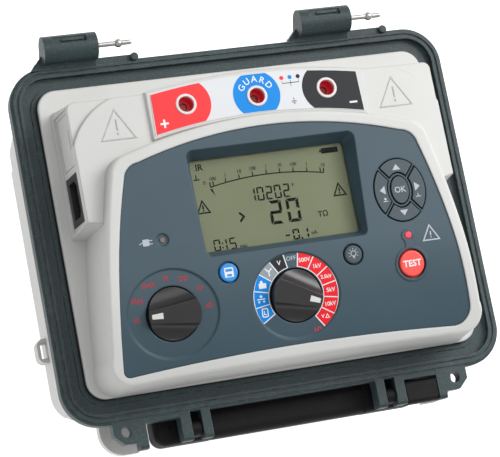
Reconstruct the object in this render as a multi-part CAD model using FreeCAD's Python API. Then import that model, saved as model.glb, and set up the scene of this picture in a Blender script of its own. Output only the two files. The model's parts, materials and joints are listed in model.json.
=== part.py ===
import FreeCAD, Part
import math
import os

# Bench insulation tester built into the lower half of a hinged instrument case.
# Frame: millimetres, +Z up, +X right, -Y towards the user (carry handle side),
# origin on the table under the centre of the overall footprint.

os.makedirs("parts", exist_ok=True)

V = FreeCAD.Vector

# ---- overall heights ----
RIM_Z = 113.0              # top of the case rim above the table
FOOT_H = 3.0               # rubber feet
WALL = 3.2                 # case wall

# ---- case rim ----
RIM_HX = 157.5             # half width of the rim
RIM_HY = 123.0             # half depth of the rim
RIM_R = 26.0               # plan radius of the rim corners
RIM_SKIRT = 10.0           # depth of the outer skirt
OPEN_HX = 142.6            # half width of the opening for the panel
OPEN_HY = 108.6
OPEN_R = 15.6
BEAD_OUT = 1.9             # outer bead starts this far inside the rim edge
BEAD_W = 1.9               # width of one sealing bead
BEAD_GAP = 1.8             # groove between the two beads

# ---- case tub ----
TUB_TOP_HX = 150.2
TUB_TOP_HY = 115.7
TUB_BOT_HX = 142.0
TUB_BOT_HY = 107.5

LOOP_OUT = 153.5           # reach of the strap loops from the centre

# ---- front panel moulding ----
FLANGE_HX = 139.8
FLANGE_HY = 106.0
FLANGE_R = 13.0
FLANGE_TOP = 2.0           # above the rim
SHELL = 2.8                # moulding wall
DECK_TOP = 43.0            # terminal deck above the rim
SHOULDER_TOP = 40.6        # lower corner shoulders of the deck
ISLAND_TOP = 45.0          # raised plate that carries the terminal label
LABEL_T = 0.4
BORDER_UP = 0.9            # border bead stands proud of the fascia
BORDER_ROUND = 2.2
FASCIA_T = 3.0
LEDGE = 5.0                # ledge under the edge of the fascia

# ---- fascia profile: straight rear part, then an arc falling to the front ----
BEND_Y = -30.0
BEND_Z = 50.5
REAR_SLOPE = math.radians(2.8)
FRONT_R = 240.0

# ---- display ----
LCD_HX = 54.4
LCD_Y0 = -25.4
LCD_Y1 = 36.8
LCD_Z = 41.3

# ---- terminals ----
SOCKET_PITCH = 50.0
SOCKET_Y = 74.9
SOCKET_BORE_R = 5.4
SOCKET_RING_R = 7.2

# ---- controls on the fascia: x, y of each axis ----
RANGE_XY = (0.0, -63.0)
MODE_XY = (-85.0, -63.0)
TEST_XY = (84.0, -53.4)
SAVE_XY = (-44.2, -41.8)
LIGHT_XY = (43.4, -41.8)
KEYPAD_XY = (84.6, -3.1)
TEST_LAMP_XY = (84.4, -34.2)
CHARGE_LAMP_XY = (-84.5, -14.6)
KNOB_R = 17.3
KNOB_WELL_R = 18.3
DISH_R = 31.5
DISH_DEPTH = 1.2
KEYPAD_RX = 18.9
KEYPAD_RY = 22.0
OK_RX = 6.1
OK_RY = 9.2
KEY_GAP = 0.9              # gap round every key
KEY_WEB = 0.5              # half width of the web between arrow keys
KEY_DIAGONAL = 51.0        # slope of the webs between the arrow keys, degrees
BUTTON_R = 6.2
BUTTON_HOLE_R = 7.3
TEST_R = 8.9
TEST_HOLE_R = 10.1
STEM_END = 7.2             # lower end of a button stem below the fascia
BUTTON_TRAVEL = 1.2
MAT_GAP = 0.4
LAMP_R = 2.6
RANGE_DISH_R = 30.9
SHAFT_R = 3.0
RUN_FIT = 0.05             # radial clearance of every turning fit
KNOB_TOP = 7.6             # tail of the grip above the surface
KNOB_NOSE = 4.6
GRIP_TAIL = 8.0            # half width of the grip at its tail
GRIP_NOSE = 2.4            # half width of the grip at its pointer
RANGE_POINTS = 111.0       # degrees clockwise from the rear, as switched
MODE_POINTS = -90.0
GLASS_T = 2.0
BOARD_TOP = 31.2           # control board above the rim
BOARD_HX = 109.0
DECK_Z = 54.0              # main board above the table
SOCKET_DEEP = 30.0
SOCKET_LIP = 2.5           # pale lip above the red liner
SOCKET_BORE_DEEP = 9.0     # full-bore depth that takes the plug
CONTACT_R = 2.4
SOCKET_CORE_R = 2.9        # narrow bore round the contact

# ---- side recess with inlet, port and hinged cover; heights above the rim ----
DRAFT = 3.1                # the deck foot stands out this far beyond its top
RECESS_DEEP = 1.0
RECESS_Y = (5.5, 83.5)
RECESS_Z = (8.0, 37.2)
SIDE_WALL_X = -122.4       # inner face of the side wall block
INLET_Y = (8.0, 41.0)
INLET_Z = (9.5, 36.0)
INLET_BACK_X = -111.0
PORT_Y = (60.0, 73.0)
PORT_Z = (17.0, 24.5)
PORT_X = -127.3
COVER_Y = (46.0, 80.5)
COVER_TOP = 35.6
COVER_T = 1.8
COVER_AXIS_Z = 12.0
COVER_AXIS_DEEP = 2.4      # hinge line below the deck wall
COVER_KNUCKLE_R = 1.3
COVER_PIN_R = 0.8
COVER_POCKET = 4.1

# ---- front hardware ----
PRONG_END = -142.5
PRONG_DEEP = 12.0
PIVOT_Y = -134.0           # common line of the handle pins and the latch pin
PIVOT_Z = RIM_Z - 7.5
LUG_X = (66.5, 73.1)       # handle lug between two prongs
HANDLE_PIN_R = 2.0
HANDLE_END = 96.0          # half length of the handle
HUB_X = 56.0               # inner end of each thick handle hub
HANDLE_FRONT = -141.6
HUB_REAR = -117.2
GRIP_REAR = -120.5
HANDLE_TOP = RIM_Z - 18.0
HANDLE_H = 20.0
LATCH_X = (81.2, 104.0)
LATCH_PIN_R = 1.6
LATCH_BAYS = ((80.6, 104.6), (-104.6, -80.6))
BAY_WALL_Y = -125.3        # wall behind each latch bay
LATCH_REAR_R = 8.4

# ---- hinge barrels ----
HINGE_Y = 133.0
HINGE_UP = 6.0             # barrel axis above the rim
HINGE_R = 9.5
HINGE_STARTS = (-131.0, 53.0)
HINGE_LEN = 37.5
PIN_R = 1.7
PIN_OUT = 24.0


# ================= small helpers =================

def save(name, shape):
    shape.exportStep("parts/" + name + ".step")


def box(x0, x1, y0, y1, z0, z1):
    return Part.makeBox(x1 - x0, y1 - y0, z1 - z0, V(x0, y0, z0))


def cyl(r, h, x, y, z, axis=V(0, 0, 1)):
    return Part.makeCylinder(r, h, V(x, y, z), axis)


def mirror_x(shape):
    return shape.mirror(V(0, 0, 0), V(1, 0, 0))


def both_sides(shape):
    return shape.fuse(mirror_x(shape))


def arc(p, q, r):
    return Part.Arc(p, q, r).toShape()


def rounded_wire(hx, hy, r, z):
    """Closed rounded rectangle centred on the Z axis."""
    c = r * (1.0 - math.sqrt(0.5))
    edges = []
    edges.append(Part.makeLine(V(-hx + r, -hy, z), V(hx - r, -hy, z)))
    edges.append(arc(V(hx - r, -hy, z), V(hx - c, -hy + c, z), V(hx, -hy + r, z)))
    edges.append(Part.makeLine(V(hx, -hy + r, z), V(hx, hy - r, z)))
    edges.append(arc(V(hx, hy - r, z), V(hx - c, hy - c, z), V(hx - r, hy, z)))
    edges.append(Part.makeLine(V(hx - r, hy, z), V(-hx + r, hy, z)))
    edges.append(arc(V(-hx + r, hy, z), V(-hx + c, hy - c, z), V(-hx, hy - r, z)))
    edges.append(Part.makeLine(V(-hx, hy - r, z), V(-hx, -hy + r, z)))
    edges.append(arc(V(-hx, -hy + r, z), V(-hx + c, -hy + c, z), V(-hx + r, -hy, z)))
    return Part.Wire(edges)


def rounded_block(hx, hy, r, z0, z1):
    face = Part.Face(rounded_wire(hx, hy, r, z0))
    return face.extrude(V(0, 0, z1 - z0))


def ring_block(hx, hy, r, width, z0, z1):
    outer = rounded_block(hx, hy, r, z0, z1)
    inner = rounded_block(hx - width, hy - width, r - width, z0 - 1, z1 + 1)
    return outer.cut(inner)


def slab(wire, z0, z1):
    """Prism over a flat wire drawn at height z0."""
    return Part.Face(wire).extrude(V(0, 0, z1 - z0))


def along_x(points, x0, x1):
    """Prism along X over a closed outline in the YZ plane (arcs given as triples)."""
    edges = []
    for item in points:
        ends = [V(x0, p[0], p[1]) for p in item]
        if len(ends) == 2:
            edges.append(Part.makeLine(ends[0], ends[1]))
        else:
            edges.append(arc(ends[0], ends[1], ends[2]))
    return Part.Face(Part.Wire(edges)).extrude(V(x1 - x0, 0, 0))


# ================= fascia profile =================

def fascia_angle(y):
    """Slope of the fascia surface at depth y."""
    if y >= BEND_Y:
        return REAR_SLOPE
    centre_y = BEND_Y + FRONT_R * math.sin(REAR_SLOPE)
    return math.asin((centre_y - y) / FRONT_R)


def fascia_z(y):
    """Height of the fascia surface at depth y, in the part frame."""
    if y >= BEND_Y:
        return RIM_Z + BEND_Z + (y - BEND_Y) * math.tan(REAR_SLOPE)
    centre_z = BEND_Z - FRONT_R * math.cos(REAR_SLOPE)
    return RIM_Z + centre_z + FRONT_R * math.cos(fascia_angle(y))


def under_profile(lift, half_width=150.0):
    """Everything under the fascia surface raised by lift."""
    radius = FRONT_R + lift
    centre_y = BEND_Y + FRONT_R * math.sin(REAR_SLOPE)
    centre_z = RIM_Z + BEND_Z - FRONT_R * math.cos(REAR_SLOPE)
    angles = [REAR_SLOPE, math.radians(14.0), math.radians(24.0)]
    bend, middle, front = [
        (centre_y - radius * math.sin(a), centre_z + radius * math.cos(a)) for a in angles]
    rear_y = 75.0
    rear = (rear_y, bend[1] + (rear_y - bend[0]) * math.tan(REAR_SLOPE))
    floor = RIM_Z - 40.0
    outline = [
        (front, middle, bend),
        (bend, rear),
        (rear, (rear_y, floor)),
        ((rear_y, floor), (front[0], floor)),
        ((front[0], floor), front)]
    return along_x(outline, -half_width, half_width)


def on_fascia(shape, xy, lift=0.0):
    """Move a feature built around the Z axis so it stands square on the fascia."""
    out = shape.copy()
    angle = math.degrees(fascia_angle(xy[1]))
    out.rotate(V(0, 0, 0), V(1, 0, 0), angle)
    normal = fascia_normal(xy[1])
    foot = V(xy[0], xy[1], fascia_z(xy[1]))
    out.translate(foot + normal * lift)
    return out


def fascia_normal(y):
    a = fascia_angle(y)
    return V(0, -math.sin(a), math.cos(a))


# ================= case =================

def tub_wire(inset, z, grow_x=0.0):
    """Section of the tub at height z; the walls lean inwards towards the floor."""
    t = (z - FOOT_H) / (RIM_Z - 8.0 - FOOT_H)
    hx = TUB_BOT_HX + (TUB_TOP_HX - TUB_BOT_HX) * t - inset + grow_x
    hy = TUB_BOT_HY + (TUB_TOP_HY - TUB_BOT_HY) * t - inset
    return rounded_wire(hx, hy, 20.0 - inset, z)


def tub_body(inset, z0, z1, grow_x=0.0):
    return Part.makeLoft([tub_wire(inset, z0, grow_x), tub_wire(inset, z1, grow_x)], True, True)


def strap_loop():
    """Loop on the left wall with a slot straight down through it for a strap."""
    outline = box(-LOOP_OUT, -142.0, -67.0, -50.0, 30.0, 42.0)
    edges = [e for e in outline.Edges
             if abs(e.Vertexes[0].X + LOOP_OUT) < 0.01 and abs(e.Vertexes[1].X + LOOP_OUT) < 0.01
             and abs(e.Vertexes[0].Z - e.Vertexes[1].Z) > 1.0]
    outline = outline.makeFillet(5.0, edges)
    slot = box(-LOOP_OUT + 2.1, -144.5, -64.0, -53.0, 29.0, 43.0)
    return outline.cut(slot)


def padlock_lug():
    """Flat corner lug of the tub below the padlock tab of the rim."""
    z = RIM_Z - 42.0
    wire = Part.makePolygon([V(104.6, -108, z), V(104.6, -141.4, z), V(129, -141.4, z),
                             V(129, -108, z), V(104.6, -108, z)])
    lug = slab(wire, z, z + 8.0)
    corner = [e for e in lug.Edges
              if abs(e.Vertexes[0].X - 129) < 0.01 and abs(e.Vertexes[1].X - 129) < 0.01
              and abs(e.Vertexes[0].Y + 141.4) < 0.01 and abs(e.Vertexes[1].Y + 141.4) < 0.01]
    return lug.makeFillet(16.0, corner)


def screw_spots():
    return [(sx * 130.0, sy * 84.0) for sx in (-1, 1) for sy in (-1, 1)]


def base_shell():
    top = RIM_Z - 8.0
    outer = tub_body(0.0, FOOT_H, top)
    floor_edges = [e for e in outer.Edges
                   if abs(e.BoundBox.ZMin - FOOT_H) < 0.01 and abs(e.BoundBox.ZMax - FOOT_H) < 0.01]
    outer = outer.makeFillet(7.0, floor_edges)
    pad = tub_body(0.0, FOOT_H + 9.0, RIM_Z - 18.0, 1.4)
    pad = pad.common(box(-160, 160, -104, 76, 0, 130))
    lugs = both_sides(padlock_lug()).fuse(both_sides(strap_loop()))
    solid = outer.fuse(pad).fuse(lugs)
    solid = solid.cut(tub_body(WALL, FOOT_H + WALL, top + 1.0))
    for x, y in standoff_spots():
        solid = solid.fuse(cyl(4.5, DECK_Z - FOOT_H - 1.0, x, y, FOOT_H + 1.0))
        solid = solid.cut(cyl(1.6, 9.0, x, y, DECK_Z - 8.0))
    for x, y in screw_spots():
        boss = cyl(6.0, RIM_Z - 14.0 - FOOT_H - 1.0, x, y, FOOT_H + 1.0)
        solid = solid.fuse(boss)
        solid = solid.cut(cyl(2.0, 120.0, x, y, 0.0))
        solid = solid.cut(cyl(4.2, 8.0, x, y, FOOT_H - 1.0))
    return solid.removeSplitter()


def prong(x0, x1, y_end, depth):
    """One prong of the rim: a bar that reaches forward of the rim edge."""
    z1 = RIM_Z - 1.0
    r = 2.5
    z0 = z1 - depth
    c = r * (1.0 - math.sqrt(0.5))
    outline = [
        ((-118.0, z0), (y_end + r, z0)),
        ((y_end + r, z0), (y_end + c, z0 + c), (y_end, z0 + r)),
        ((y_end, z0 + r), (y_end, z1 - r)),
        ((y_end, z1 - r), (y_end + c, z1 - c), (y_end + r, z1)),
        ((y_end + r, z1), (-118.0, z1)),
        ((-118.0, z1), (-118.0, z0))]
    return along_x(outline, x0, x1)


def padlock_tab():
    z = RIM_Z - 1.0 - 9.0
    wire = Part.makePolygon([V(108, -118, z), V(108, -137.6, z), V(120.5, -137.6, z),
                             V(127.2, -131, z), V(127.2, -118, z), V(108, -118, z)])
    tab = slab(wire, z, RIM_Z - 1.0)
    return tab.cut(cyl(3.7, 30.0, 118.2, -129.2, z - 10))


def hinge_half(x0):
    """Barrel with a web that carries it behind the rim."""
    axis_z = RIM_Z + HINGE_UP
    barrel = cyl(HINGE_R, HINGE_LEN, x0, HINGE_Y, axis_z, V(1, 0, 0))
    web = along_x([
        ((118.0, RIM_Z - 9.0), (118.0, RIM_Z - 1.0)),
        ((118.0, RIM_Z - 1.0), (124.2, RIM_Z + 2.0)),
        ((124.2, RIM_Z + 2.0), (HINGE_Y, axis_z)),
        ((HINGE_Y, axis_z), (HINGE_Y + 5.5, RIM_Z - 1.0)),
        ((HINGE_Y + 5.5, RIM_Z - 1.0), (128.0, RIM_Z - 9.0)),
        ((128.0, RIM_Z - 9.0), (118.0, RIM_Z - 9.0))], x0, x0 + HINGE_LEN)
    brace = Part.makePolygon([V(x0 - 9.0, 121, RIM_Z - 9), V(x0 + 5.0, 121, RIM_Z - 9),
                              V(x0 + 5.0, 131, RIM_Z - 9), V(x0, 131, RIM_Z - 9),
                              V(x0 - 9.0, 121, RIM_Z - 9)])
    plate = box(x0 - 5.0, x0 + 66.0, 118.0, 126.0, RIM_Z - 9.0, RIM_Z - 1.0)
    stop = cyl(2.9, 3.4, x0 + 64.5, 123.8, RIM_Z - 1.6)
    stop = stop.makeFillet(0.9, [e for e in stop.Edges if e.BoundBox.ZMin > RIM_Z and len(e.Vertexes) == 1])
    half = barrel.fuse([web, slab(brace, RIM_Z - 9, RIM_Z + 1), plate, stop])
    slot = box(x0 + 7.0, x0 + 30.0, HINGE_Y + 1.5, HINGE_Y + 6.5, axis_z + 6.2, axis_z + 12)
    tab = box(x0 + 13.0, x0 + 28.0, HINGE_Y + 3.4, HINGE_Y + 5.0, axis_z + 5.0, axis_z + 7.6)
    bore = cyl(PIN_R, HINGE_LEN - 6.0, x0 + 6.5, HINGE_Y, axis_z, V(1, 0, 0))
    return half.cut(slot).fuse(tab).cut(bore)


def rim_frame():
    """Slate ring that tops the tub: skirt, two sealing beads, inner shelf and collar."""
    top = RIM_Z - 1.0
    ring = ring_block(RIM_HX, RIM_HY, RIM_R, RIM_HX - OPEN_HX, RIM_Z - RIM_SKIRT, top)
    upper = [e for e in ring.Edges
             if abs(e.BoundBox.ZMin - top) < 0.01 and abs(e.BoundBox.ZMax - top) < 0.01
             and (e.BoundBox.XMax > OPEN_HX + 2.0 or e.BoundBox.XMin < -OPEN_HX - 2.0
                  or abs(e.BoundBox.YMax) > OPEN_HY + 2.0 and abs(e.BoundBox.YMin) > OPEN_HY + 2.0)]
    ring = ring.makeFillet(1.2, upper)
    inset = BEAD_OUT
    for _ in range(2):
        bead = ring_block(RIM_HX - inset, RIM_HY - inset, RIM_R - inset, BEAD_W, top - 0.5, RIM_Z)
        ring = ring.fuse(bead)
        inset += BEAD_W + BEAD_GAP
    shelf = rounded_block(RIM_HX - 7.6, RIM_HY - 7.6, RIM_R - 7.6, RIM_Z - 4.5, RIM_Z + 2.0)
    ring = ring.cut(shelf)
    channel = rounded_block(TUB_TOP_HX + 0.5, TUB_TOP_HY + 0.5, 20.5, RIM_Z - RIM_SKIRT - 1.0, RIM_Z - 8.0)
    ring = ring.cut(channel)
    collar = ring_block(OPEN_HX + 2.8, OPEN_HY + 2.8, OPEN_R + 2.8, 2.8, RIM_Z - 18.0, RIM_Z - 4.5)
    ledge = ring_block(OPEN_HX + 1.0, OPEN_HY + 1.0, OPEN_R + 1.0, 6.4, RIM_Z - 5.5, RIM_Z - 3.5)
    ring = ring.fuse(collar).fuse(ledge)
    prongs = [prong(59.7, 66.0, PRONG_END + 0.7, PRONG_DEEP), prong(73.6, 80.6, PRONG_END + 0.7, PRONG_DEEP),
              prong(104.6, 110.4, PRONG_END, PRONG_DEEP), padlock_tab()]
    for item in prongs:
        ring = ring.fuse(both_sides(item))
    for x0 in HINGE_STARTS:
        ring = ring.fuse(hinge_half(x0))
    for x0, x1 in LATCH_BAYS:
        ring = ring.fuse(box(x0, x1, BAY_WALL_Y, 1.0 - RIM_HY, RIM_Z - 16.0, RIM_Z - 1.2))
    ring = ring.cut(handle_pins()).cut(latch_pin())
    return ring.removeSplitter()


def hinge_pins():
    """Two spring split pins: half-round legs with a bulge near the free end."""
    pins = []
    for x0 in HINGE_STARTS:
        start = x0 + 6.5
        axis_z = RIM_Z + HINGE_UP
        rod = cyl(PIN_R, HINGE_LEN - 6.5 + PIN_OUT, start, HINGE_Y, axis_z, V(1, 0, 0))
        bulge_x = start + HINGE_LEN - 6.5 + PIN_OUT - 8.0
        bulge = Part.makeSphere(3.0, V(bulge_x, HINGE_Y, axis_z))
        tip = Part.makeSphere(PIN_R, V(start + HINGE_LEN - 6.5 + PIN_OUT, HINGE_Y, axis_z))
        pin = rod.fuse(bulge).fuse(tip)
        split = box(start + HINGE_LEN - 5.0, start + HINGE_LEN + PIN_OUT, HINGE_Y - 5, HINGE_Y + 5,
                    axis_z - 0.5, axis_z + 0.5)
        pins.append(pin.cut(split))
    return Part.makeCompound(pins)


def feet():
    spots = [(sx * 112.0, sy * 78.0) for sx in (-1, 1) for sy in (-1, 1)]
    return Part.makeCompound([Part.makeCone(9.0, 10.0, FOOT_H, V(x, y, 0)) for x, y in spots])


def case_screws():
    """Four long screws that clamp the panel down onto the tub."""
    screws = []
    for x, y in screw_spots():
        head = cyl(4.0, 3.0, x, y, FOOT_H + 4.0)
        shank = cyl(2.0, RIM_Z - FOOT_H - 12.0, x, y, FOOT_H + 6.5)
        drive = box(x - 3.0, x + 3.0, y - 0.5, y + 0.5, FOOT_H + 3.0, FOOT_H + 5.0)
        screws.append(head.fuse(shank).cut(drive))
    return Part.makeCompound(screws)


# ================= front panel moulding =================

def deck_wire(out, z):
    """Plan of the terminal deck; out widens it towards its foot."""
    hx = 129.4 + out
    rear = 85.7 + 1.6 * out
    r = 5.0
    c = r * (1.0 - math.sqrt(0.5))
    mid = 93.6 + 1.2 * out
    front = 5.0 - out
    inner = (108.0, 0.0)
    edges = [
        Part.makeLine(V(-hx, front, z), V(-hx, rear - r, z)),
        arc(V(-hx, rear - r, z), V(-hx + c, rear - c, z), V(-hx + r, rear, z)),
        Part.makeLine(V(-hx + r, rear, z), V(-78, rear, z)),
        arc(V(-78, rear, z), V(0, mid, z), V(78, rear, z)),
        Part.makeLine(V(78, rear, z), V(hx - r, rear, z)),
        arc(V(hx - r, rear, z), V(hx - c, rear - c, z), V(hx, rear - r, z)),
        Part.makeLine(V(hx, rear - r, z), V(hx, front, z)),
        Part.makeLine(V(hx, front, z), V(inner[0], inner[1], z)),
        Part.makeLine(V(inner[0], inner[1], z), V(-inner[0], inner[1], z)),
        Part.makeLine(V(-inner[0], inner[1], z), V(-hx, front, z))]
    return Part.Wire(edges)


def shoulder_cut(z):
    """Rear corner region outside the curved edge of the deck (right side)."""
    edges = [
        arc(V(75.0, 88.2, z), V(113.0, 78.4, z), V(129.8, 56.0, z)),
        Part.makeLine(V(129.8, 56.0, z), V(140, 56.0, z)),
        Part.makeLine(V(140, 56.0, z), V(140, 100, z)),
        Part.makeLine(V(140, 100, z), V(75, 100, z)),
        Part.makeLine(V(75, 100, z), V(75, 88.2, z))]
    return Part.Wire(edges)


def deck_core(depth):
    """Deck with leaning walls, drawn in by a depth all round."""
    low = RIM_Z + FLANGE_TOP - 1.0
    top = RIM_Z + DECK_TOP
    return Part.makeLoft([deck_wire(DRAFT - depth, low), deck_wire(-depth, top)], True, True)


def deck_wall_x(z):
    """Outer face of the left deck wall at height z."""
    t = (z - RIM_Z - FLANGE_TOP + 1.0) / (DECK_TOP - FLANGE_TOP + 1.0)
    return -129.4 - DRAFT * (1.0 - t)


def deck_block():
    top = RIM_Z + DECK_TOP
    block = deck_core(0.0)
    cutter = slab(shoulder_cut(RIM_Z + SHOULDER_TOP), RIM_Z + SHOULDER_TOP, top + 5)
    block = block.cut(both_sides(cutter))
    return block


def island_wire(inset, z):
    """Plan of the raised plate that carries the terminal label."""
    hx = 76.6 - inset
    side_rear = 86.2 - inset
    return Part.Wire([
        arc(V(-hx, side_rear, z), V(0, 93.2 - inset, z), V(hx, side_rear, z)),
        Part.makeLine(V(hx, side_rear, z), V(hx, 53.0 + inset, z)),
        arc(V(hx, 53.0 + inset, z), V(0, 61.2 + inset, z), V(-hx, 53.0 + inset, z)),
        Part.makeLine(V(-hx, 53.0 + inset, z), V(-hx, side_rear, z))])


def island():
    z = RIM_Z + DECK_TOP - 1.0
    return Part.makeLoft([island_wire(-0.6, z), island_wire(0.7, RIM_Z + ISLAND_TOP)], True, True)


def plateau_wire(inset, z):
    """Plan of the raised centre of the panel that frames the fascia."""
    k = inset
    rear_mid = 60.2 - k
    ax, ay = 98.0 - 0.9 * k, 45.2 - k
    bx, by = 112.6 - k, 30.5 - 0.5 * k
    mx, my = 108.3 - k, 40.2 - k
    sx, sy = 122.7 - k, -18.0
    fx, fy = 129.3 - k, -84.0
    cx, cy = 117.5 - k, -102.6 + k
    ex, ey = 126.0 - k, -98.7 + k
    half = [
        arc(V(ax, ay, z), V(mx, my, z), V(bx, by, z)),
        arc(V(bx, by, z), V(sx, sy, z), V(fx, fy, z)),
        arc(V(fx, fy, z), V(ex, ey, z), V(cx, cy, z))]
    left = [
        arc(V(-cx, cy, z), V(-ex, ey, z), V(-fx, fy, z)),
        arc(V(-fx, fy, z), V(-sx, sy, z), V(-bx, by, z)),
        arc(V(-bx, by, z), V(-mx, my, z), V(-ax, ay, z))]
    front = arc(V(cx, cy, z), V(0, cy + 1.6, z), V(-cx, cy, z))
    rear = arc(V(-ax, ay, z), V(0, rear_mid, z), V(ax, ay, z))
    return Part.Wire(half + [front] + left + [rear])


def plateau(inset, lift):
    low = RIM_Z - 1.0
    high = RIM_Z + 62.0
    loft = Part.makeLoft([plateau_wire(inset - 3.6, low), plateau_wire(inset + 1.0, high)], True, True)
    return loft.common(under_profile(lift))


def soft_plateau():
    """Raised centre with its top outer edge rounded."""
    solid = plateau(0.0, BORDER_UP)
    crest = [e for e in solid.Edges if on_crest(e)]
    return solid.makeFillet(BORDER_ROUND, crest)


def on_crest(edge):
    """True for the outline edges of the top surface of the raised centre."""
    points = [edge.valueAt(edge.FirstParameter + t * (edge.LastParameter - edge.FirstParameter))
              for t in (0.0, 0.37, 1.0)]
    near = [abs(p.z - fascia_z(p.y) - BORDER_UP) < 0.35 for p in points]
    across = abs(points[0].y - points[2].y) < 0.01 and abs(points[0].x + points[2].x) < 0.01
    return all(near) and not (across and abs(points[1].y - points[0].y) < 0.01)


def fascia_wire(inset, z):
    """Plan of the slate fascia plate: front corner tight on the left, wide on the right."""
    k = inset
    ax, ay = 92.0 - k, 37.8 - k
    bx, by = 103.4 - k, 27.5 - k
    mx, my = 99.6 - k, 34.6 - k
    sx, sy = 115.8 - k, -25.5
    gx, gy = 122.1 - k, -84.0
    fx, fy = 108.5 - k, -98.1 + k
    ex, ey = 118.4 - k, -94.4 + k
    hx, hy = k - 122.6, -94.0
    jx, jy = k - 118.4, -98.8 + k
    ix, iy = k - 121.4, -97.6 + k
    right = [
        arc(V(ax, ay, z), V(mx, my, z), V(bx, by, z)),
        arc(V(bx, by, z), V(sx, sy, z), V(gx, gy, z)),
        arc(V(gx, gy, z), V(ex, ey, z), V(fx, fy, z))]
    left = [
        arc(V(jx, jy, z), V(ix, iy, z), V(hx, hy, z)),
        arc(V(hx, hy, z), V(-sx, sy, z), V(-bx, by, z)),
        arc(V(-bx, by, z), V(-mx, my, z), V(-ax, ay, z))]
    front = arc(V(fx, fy, z), V(0, -94.2 + k, z), V(jx, jy, z))
    rear = arc(V(-ax, ay, z), V(0, 52.2 - k, z), V(ax, ay, z))
    return Part.Wire(right + [front] + left + [rear])


def wall_slab(near, far, ys, zs):
    """Flat slab between two depths below the left deck wall, parallel to it."""
    z0, z1 = RIM_Z + zs[0], RIM_Z + zs[1]
    x0, x1 = deck_wall_x(z0), deck_wall_x(z1)
    y = ys[0]
    outline = Part.makePolygon([V(x0 + near, y, z0), V(x0 + far, y, z0), V(x1 + far, y, z1),
                                V(x1 + near, y, z1), V(x0 + near, y, z0)])
    return Part.Face(outline).extrude(V(0, ys[1] - ys[0], 0))


def side_pocket(depth, ys, zs):
    """Pocket sunk into the left wall of the deck, its floor parallel to the wall."""
    return wall_slab(-8.0, depth, ys, zs)


def cover_axis():
    z = RIM_Z + COVER_AXIS_Z
    return deck_wall_x(z) + COVER_AXIS_DEEP, z


def side_recess(solid):
    """Thicken the left wall of the deck and sink the recess for inlet, port and cover."""
    block = box(-140.0, SIDE_WALL_X, 4.0, 89.0, RIM_Z + 5.0, RIM_Z + SHOULDER_TOP - SHELL + 0.5)
    solid = solid.fuse(block.common(deck_block()))
    recess = side_pocket(RECESS_DEEP, RECESS_Y, RECESS_Z)
    pocket_y = (COVER_Y[0] - 0.35, COVER_Y[1] + 0.35)
    pocket = side_pocket(COVER_POCKET, pocket_y, (COVER_AXIS_Z - 1.8, COVER_TOP + 0.35))
    inlet = box(-140.0, INLET_BACK_X, INLET_Y[0], INLET_Y[1], RIM_Z + INLET_Z[0], RIM_Z + INLET_Z[1])
    port = box(-140.0, -110.0, PORT_Y[0], PORT_Y[1], RIM_Z + PORT_Z[0], RIM_Z + PORT_Z[1])
    x, z = cover_axis()
    length = COVER_Y[1] - COVER_Y[0] + 4.4
    pins = cyl(COVER_PIN_R + RUN_FIT, length, x, COVER_Y[0] - 2.2, z, V(0, 1, 0))
    return solid.cut([recess, pocket, inlet, port, pins])


def front_panel():
    flange = rounded_block(FLANGE_HX, FLANGE_HY, FLANGE_R, RIM_Z - 1.0, RIM_Z + FLANGE_TOP)
    top_edge = [e for e in flange.Edges if e.BoundBox.ZMin > RIM_Z + FLANGE_TOP - 0.01]
    flange = flange.makeFillet(1.2, top_edge)
    solid = flange.fuse([deck_block(), soft_plateau(), island()])
    deck_hollow = Part.makeLoft([deck_wire(3.1 - SHELL - 1.0, RIM_Z - 2.0),
                                 deck_wire(-SHELL - 1.0, RIM_Z + SHOULDER_TOP - SHELL)], True, True)
    plateau_hollow = plateau(SHELL, -FASCIA_T - SHELL)
    solid = solid.cut(deck_hollow).cut(plateau_hollow)
    pocket = slab(fascia_wire(-0.15, RIM_Z + 20.0), RIM_Z + 20.0, RIM_Z + 70.0)
    above = pocket.cut(under_profile(-FASCIA_T))
    opening = slab(fascia_wire(LEDGE, RIM_Z - 5.0), RIM_Z - 5.0, RIM_Z + 70.0)
    solid = solid.cut(above).cut(opening)
    solid = side_recess(solid)
    for i in (-1, 0, 1):
        solid = solid.cut(cyl(SOCKET_RING_R, 40.0, i * SOCKET_PITCH, SOCKET_Y, RIM_Z + 20.0))
    for x, y in screw_spots():
        post = cyl(5.0, 15.0, x, y, RIM_Z - 14.0)
        solid = solid.fuse(post).cut(cyl(2.0, 9.5, x, y, RIM_Z - 14.5))
    for x, y in board_screw_spots():
        side = math.copysign(1.0, x)
        x0, x1 = sorted((x - 3.0 * side, x + 28.0 * side))
        z1 = RIM_Z + BOARD_TOP - 1.6
        rest = box(x0, x1, y - 5.0, y + 5.0, z1 - 8.0, z1)
        solid = solid.fuse(rest.common(plateau(0.5, 0.0)))
        solid = solid.cut(cyl(1.5, 7.0, x, y, z1 - 6.4))
    return solid.removeSplitter()


# ================= fascia and what sits in it =================

def display_wire(hx_front, hx_rear, y0, y1, r, z):
    """Four-sided outline with rounded corners, wider at the rear."""
    pts = [(-hx_front, y0), (hx_front, y0), (hx_rear, y1), (-hx_rear, y1)]
    wire = Part.makePolygon([V(x, y, z) for x, y in pts] + [V(-hx_front, y0, z)])
    solid = Part.Face(wire).extrude(V(0, 0, 1))
    upright = [e for e in solid.Edges
               if abs(e.Vertexes[0].Z - e.Vertexes[1].Z) > 0.5]
    solid = solid.makeFillet(r, upright)
    faces = [f for f in solid.Faces if f.BoundBox.ZMax < z + 0.01]
    return faces[0].OuterWire


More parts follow.
